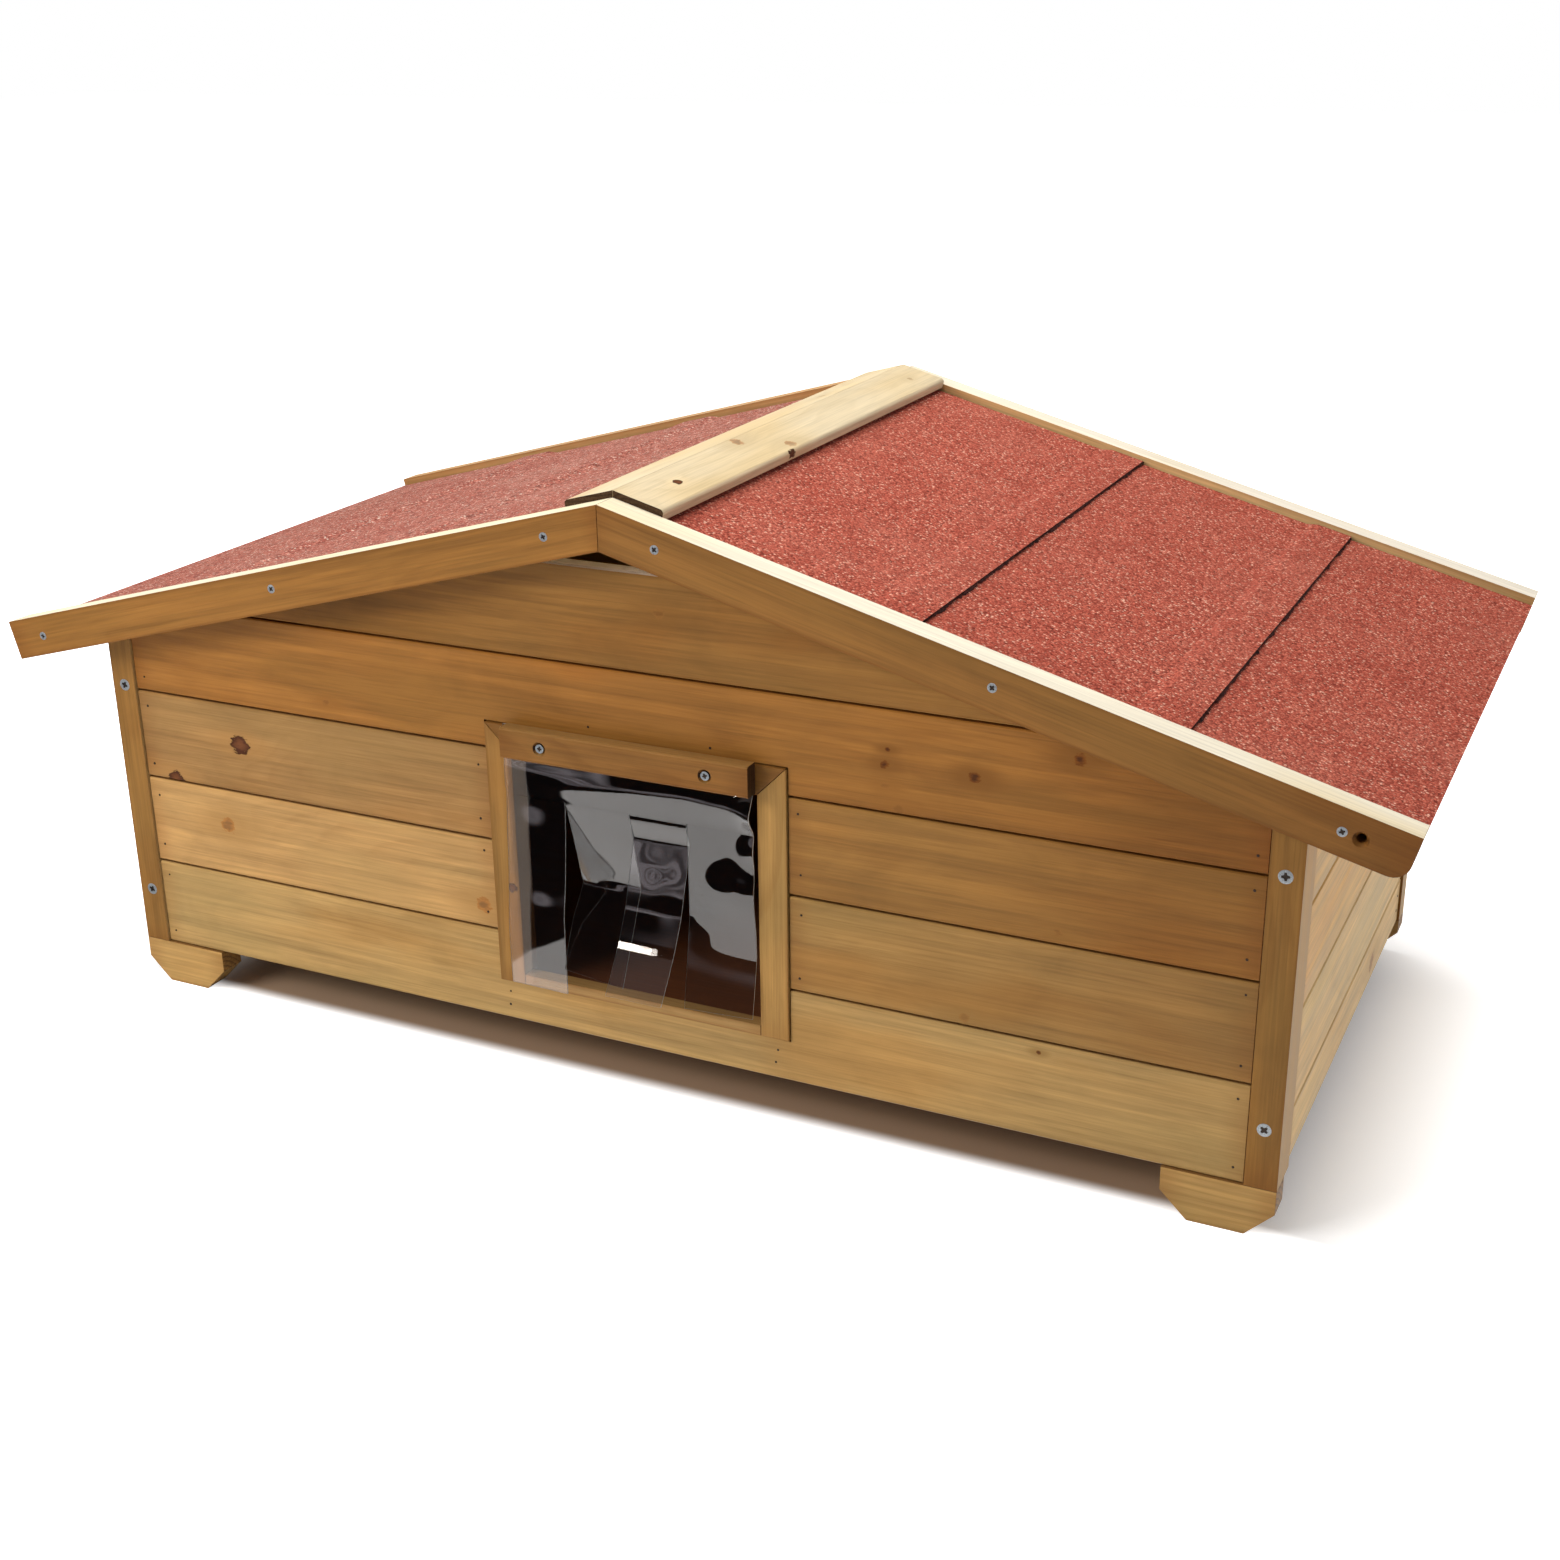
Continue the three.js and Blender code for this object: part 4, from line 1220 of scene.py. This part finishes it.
# Where the floor's white and its painted shadow start and end: metres past its front, sides
# and back, or past an inset from the last two
WHITE_FADE = (-0.001, 0.017)
UNDER_FADE = (0.02, 0.10)
UNDER_INSET = 0.062
OUTER_FADE = 0.182
SIDE_FADE = (-0.05, -0.03)
BACK_FADE = 0.05

# What smooth surfaces mirror: a lit table in front of the house, with its edges on Y and X, and
# a dark room past it, with dim shapes on the ground past a start on Y and low above it
TABLE_EDGES = ((-0.606, -0.60), (-0.169, -0.164))
TABLE_GLOW = 1.24
TABLE_COLOUR = (1, 0.965, 0.935, 1)
ROOM_START = (-0.9, -1.15)
ROOM_BLACK = (0.012, 0.012, 0.013, 1)
ROOM_SHAPES = [(0.38, (0.20, 0.18, 0.19, 1)), (0.56, (0.80, 0.72, 0.76, 1))]
ROOM_HAZE = (0.18, 0.15, 0.145, 1)
ROOM_LAMP = (12, 11, 10, 1)
# Directions in the room: the reach of its haze on X and Z, and the lamp's middle and sharpness
HAZE_REACH = ((-0.52, -0.24), (0.185, 0.5))
LAMP_MIDDLE = (-0.441, 0.155)
LAMP_SHARPNESS = (180.0, 34.0)


def place_camera():
    data = bpy.data.cameras.new("camera")
    data.sensor_width = SENSOR_WIDTH
    data.lens = FOCAL_LENGTH
    camera = link(bpy.data.objects.new("camera", data))
    turn = Matrix((CAMERA_RIGHT, -CAMERA_DOWN, -CAMERA_AHEAD)).transposed().to_4x4()
    camera.matrix_world = Matrix.Translation(CAMERA_PLACE) @ turn
    bpy.context.scene.camera = camera


def make_floor():
    mesh = bpy.data.meshes.new("floor")
    signs = ((-1, -1), (1, -1), (1, 1), (-1, 1))
    corners = [(x * FLOOR_REACH, y * FLOOR_REACH, 0) for x, y in signs]
    mesh.from_pydata(corners, [], [(0, 1, 2, 3)])
    link(bpy.data.objects.new("floor", mesh))
    g = Graph("floor_white")
    mesh.materials.append(g.material)
    path = g.node("LightPath").outputs
    seen = path["Is Camera Ray"]
    place = g.place()
    x = g.dot(place, X)
    y = g.dot(place, Y)
    wide = g.math("ABSOLUTE", x)
    # The floor is painted dark brown under the house, a painted shadow, and white close to its
    # front.
    in_front = g.ease(y, *(FRONT + step for step in WHITE_FADE), 1.0, 0.0)
    past_side = g.math("MAXIMUM", g.minus(wide, HALF_WIDTH - UNDER_INSET), 0.0)
    past_back = g.math("MAXIMUM", g.minus(y, BACK - UNDER_INSET), 0.0)
    lift = g.math("MAXIMUM", in_front, g.ease(g.length(past_side, past_back), 0.0, OUTER_FADE))
    under = g.ramp(g.ease(y, *(FRONT + step for step in UNDER_FADE)), FLOOR_UNDER_SHADOW)
    within = g.ease(wide, *(HALF_WIDTH + step for step in SIDE_FADE), 1.0, 0.0)
    painted_shadow = g.times(within, seen)
    painted_shadow = g.times(painted_shadow, g.minus(1.0, in_front))
    painted_shadow = g.times(painted_shadow, g.ease(past_back, 0.0, BACK_FADE, 1.0, 0.0))
    # The painted shadow's faint brown glow stands in for light bounced off the house.
    shade = g.mix(painted_shadow, grey(0.0), FLOOR_SHADOW_GLOW)
    g.set(
        Base_Color=g.mix(painted_shadow, grey(FLOOR_WHITE), under),
        Roughness=1.0,
        Specular_IOR_Level=0.0,
        Emission_Color=g.mix(lift, shade, grey(FLOOR_GLOW)),
        Emission_Strength=seen,
    )
    shapes = g.ramp(g.noise(place, 0.9, 1.0, 0.5, 0.8), ROOM_SHAPES)
    room = g.mix(g.ease(y, *ROOM_START), ROOM_BLACK, shapes)
    on_table = g.times(g.ease(y, *TABLE_EDGES[0]), g.ease(x, *TABLE_EDGES[1]))
    lit = g.glow("Emission", TABLE_COLOUR, TABLE_GLOW)
    mirrored = g.mix_shaders(on_table, g.glow("Emission", room), lit)
    g.surface(g.mix_shaders(path["Is Glossy Ray"], g.shader.outputs[0], mirrored))


def room_colour(g):
    """The dark room that smooth surfaces mirror, with dim shapes low down and one small lamp."""
    place = g.node("TexCoord").outputs["Generated"]
    x, y, z = g.node("SeparateXYZ", place).outputs

    def between(value, low, high):
        above = g.math("GREATER_THAN", value, low)
        return g.times(above, g.math("LESS_THAN", value, high))

    shapes = g.ramp(g.noise(place, 7.0, 1.0, 0.5, 1.5), ROOM_SHAPES)
    low = g.times(g.minus(0.06, z), 25.0)
    low = g.math("MINIMUM", g.math("MAXIMUM", low, 0.0), 1.0)
    colour = g.mix(low, ROOM_BLACK, shapes)
    haze = g.times(between(x, *HAZE_REACH[0]), between(z, *HAZE_REACH[1]))
    colour = g.mix(haze, colour, ROOM_HAZE)
    across = g.times(g.minus(x, LAMP_MIDDLE[0]), LAMP_SHARPNESS[0])
    upward = g.times(g.minus(z, LAMP_MIDDLE[1]), LAMP_SHARPNESS[1])
    oval = g.math("LESS_THAN", g.length(across, upward), 1.0)
    in_lamp = g.times(oval, g.math("LESS_THAN", y, 0.0))
    return g.mix(in_lamp, colour, ROOM_LAMP)


def make_world():
    """Soft light for surfaces, the room for mirrors and plain white for the camera."""
    world = bpy.data.worlds.new("world")
    bpy.context.scene.world = world
    world.use_nodes = True
    world.node_tree.nodes.clear()
    g = Tree(world.node_tree)
    path = g.node("LightPath").outputs
    soft = g.glow("Background", (1.0, 0.985, 0.96, 1), WORLD_LIGHT)
    room = g.glow("Background", room_colour(g))
    light = g.mix_shaders(path["Is Glossy Ray"], soft, room)
    surface = g.mix_shaders(path["Is Camera Ray"], light, g.glow("Background", grey(1.0)))
    g.node("OutputWorld", Surface=surface)


def add_lamp(name, place, aim, size, power):
    """A soft box that isn't seen in mirrors or through the clear sheet."""
    data = bpy.data.lights.new(name, "AREA")
    data.shape = "RECTANGLE"
    data.size, data.size_y = size
    data.energy = power
    lamp = link(bpy.data.objects.new(name, data))
    lamp.location = place
    lamp.rotation_euler = (Vector(aim) - Vector(place)).to_track_quat("-Z", "Y").to_euler()
    lamp.visible_glossy = False
    lamp.visible_transmission = False


def light_stage():
    add_lamp("top_softbox", (-0.25, 0.05, 1.5), (-0.02, 0, 0.1), (1.5, 1.3), 24)
    add_lamp("front_softbox", (-1.0, -1.4, 0.95), (-0.1, 0, 0.1), (0.9, 0.7), 20)
    add_lamp("side_softbox", (1.5, 0.35, 0.45), (0.3, 0, 0.12), (0.6, 0.4), 2.8)


place_camera()
make_floor()
make_world()
light_stage()
dress_boards()
dress_frame_pieces()
dress_roof_wood()
dress_felt()
lay_lap_lines()
hang_flap()
drive_screws()
drive_nails()

bpy.context.scene.view_settings.view_transform = "Standard"
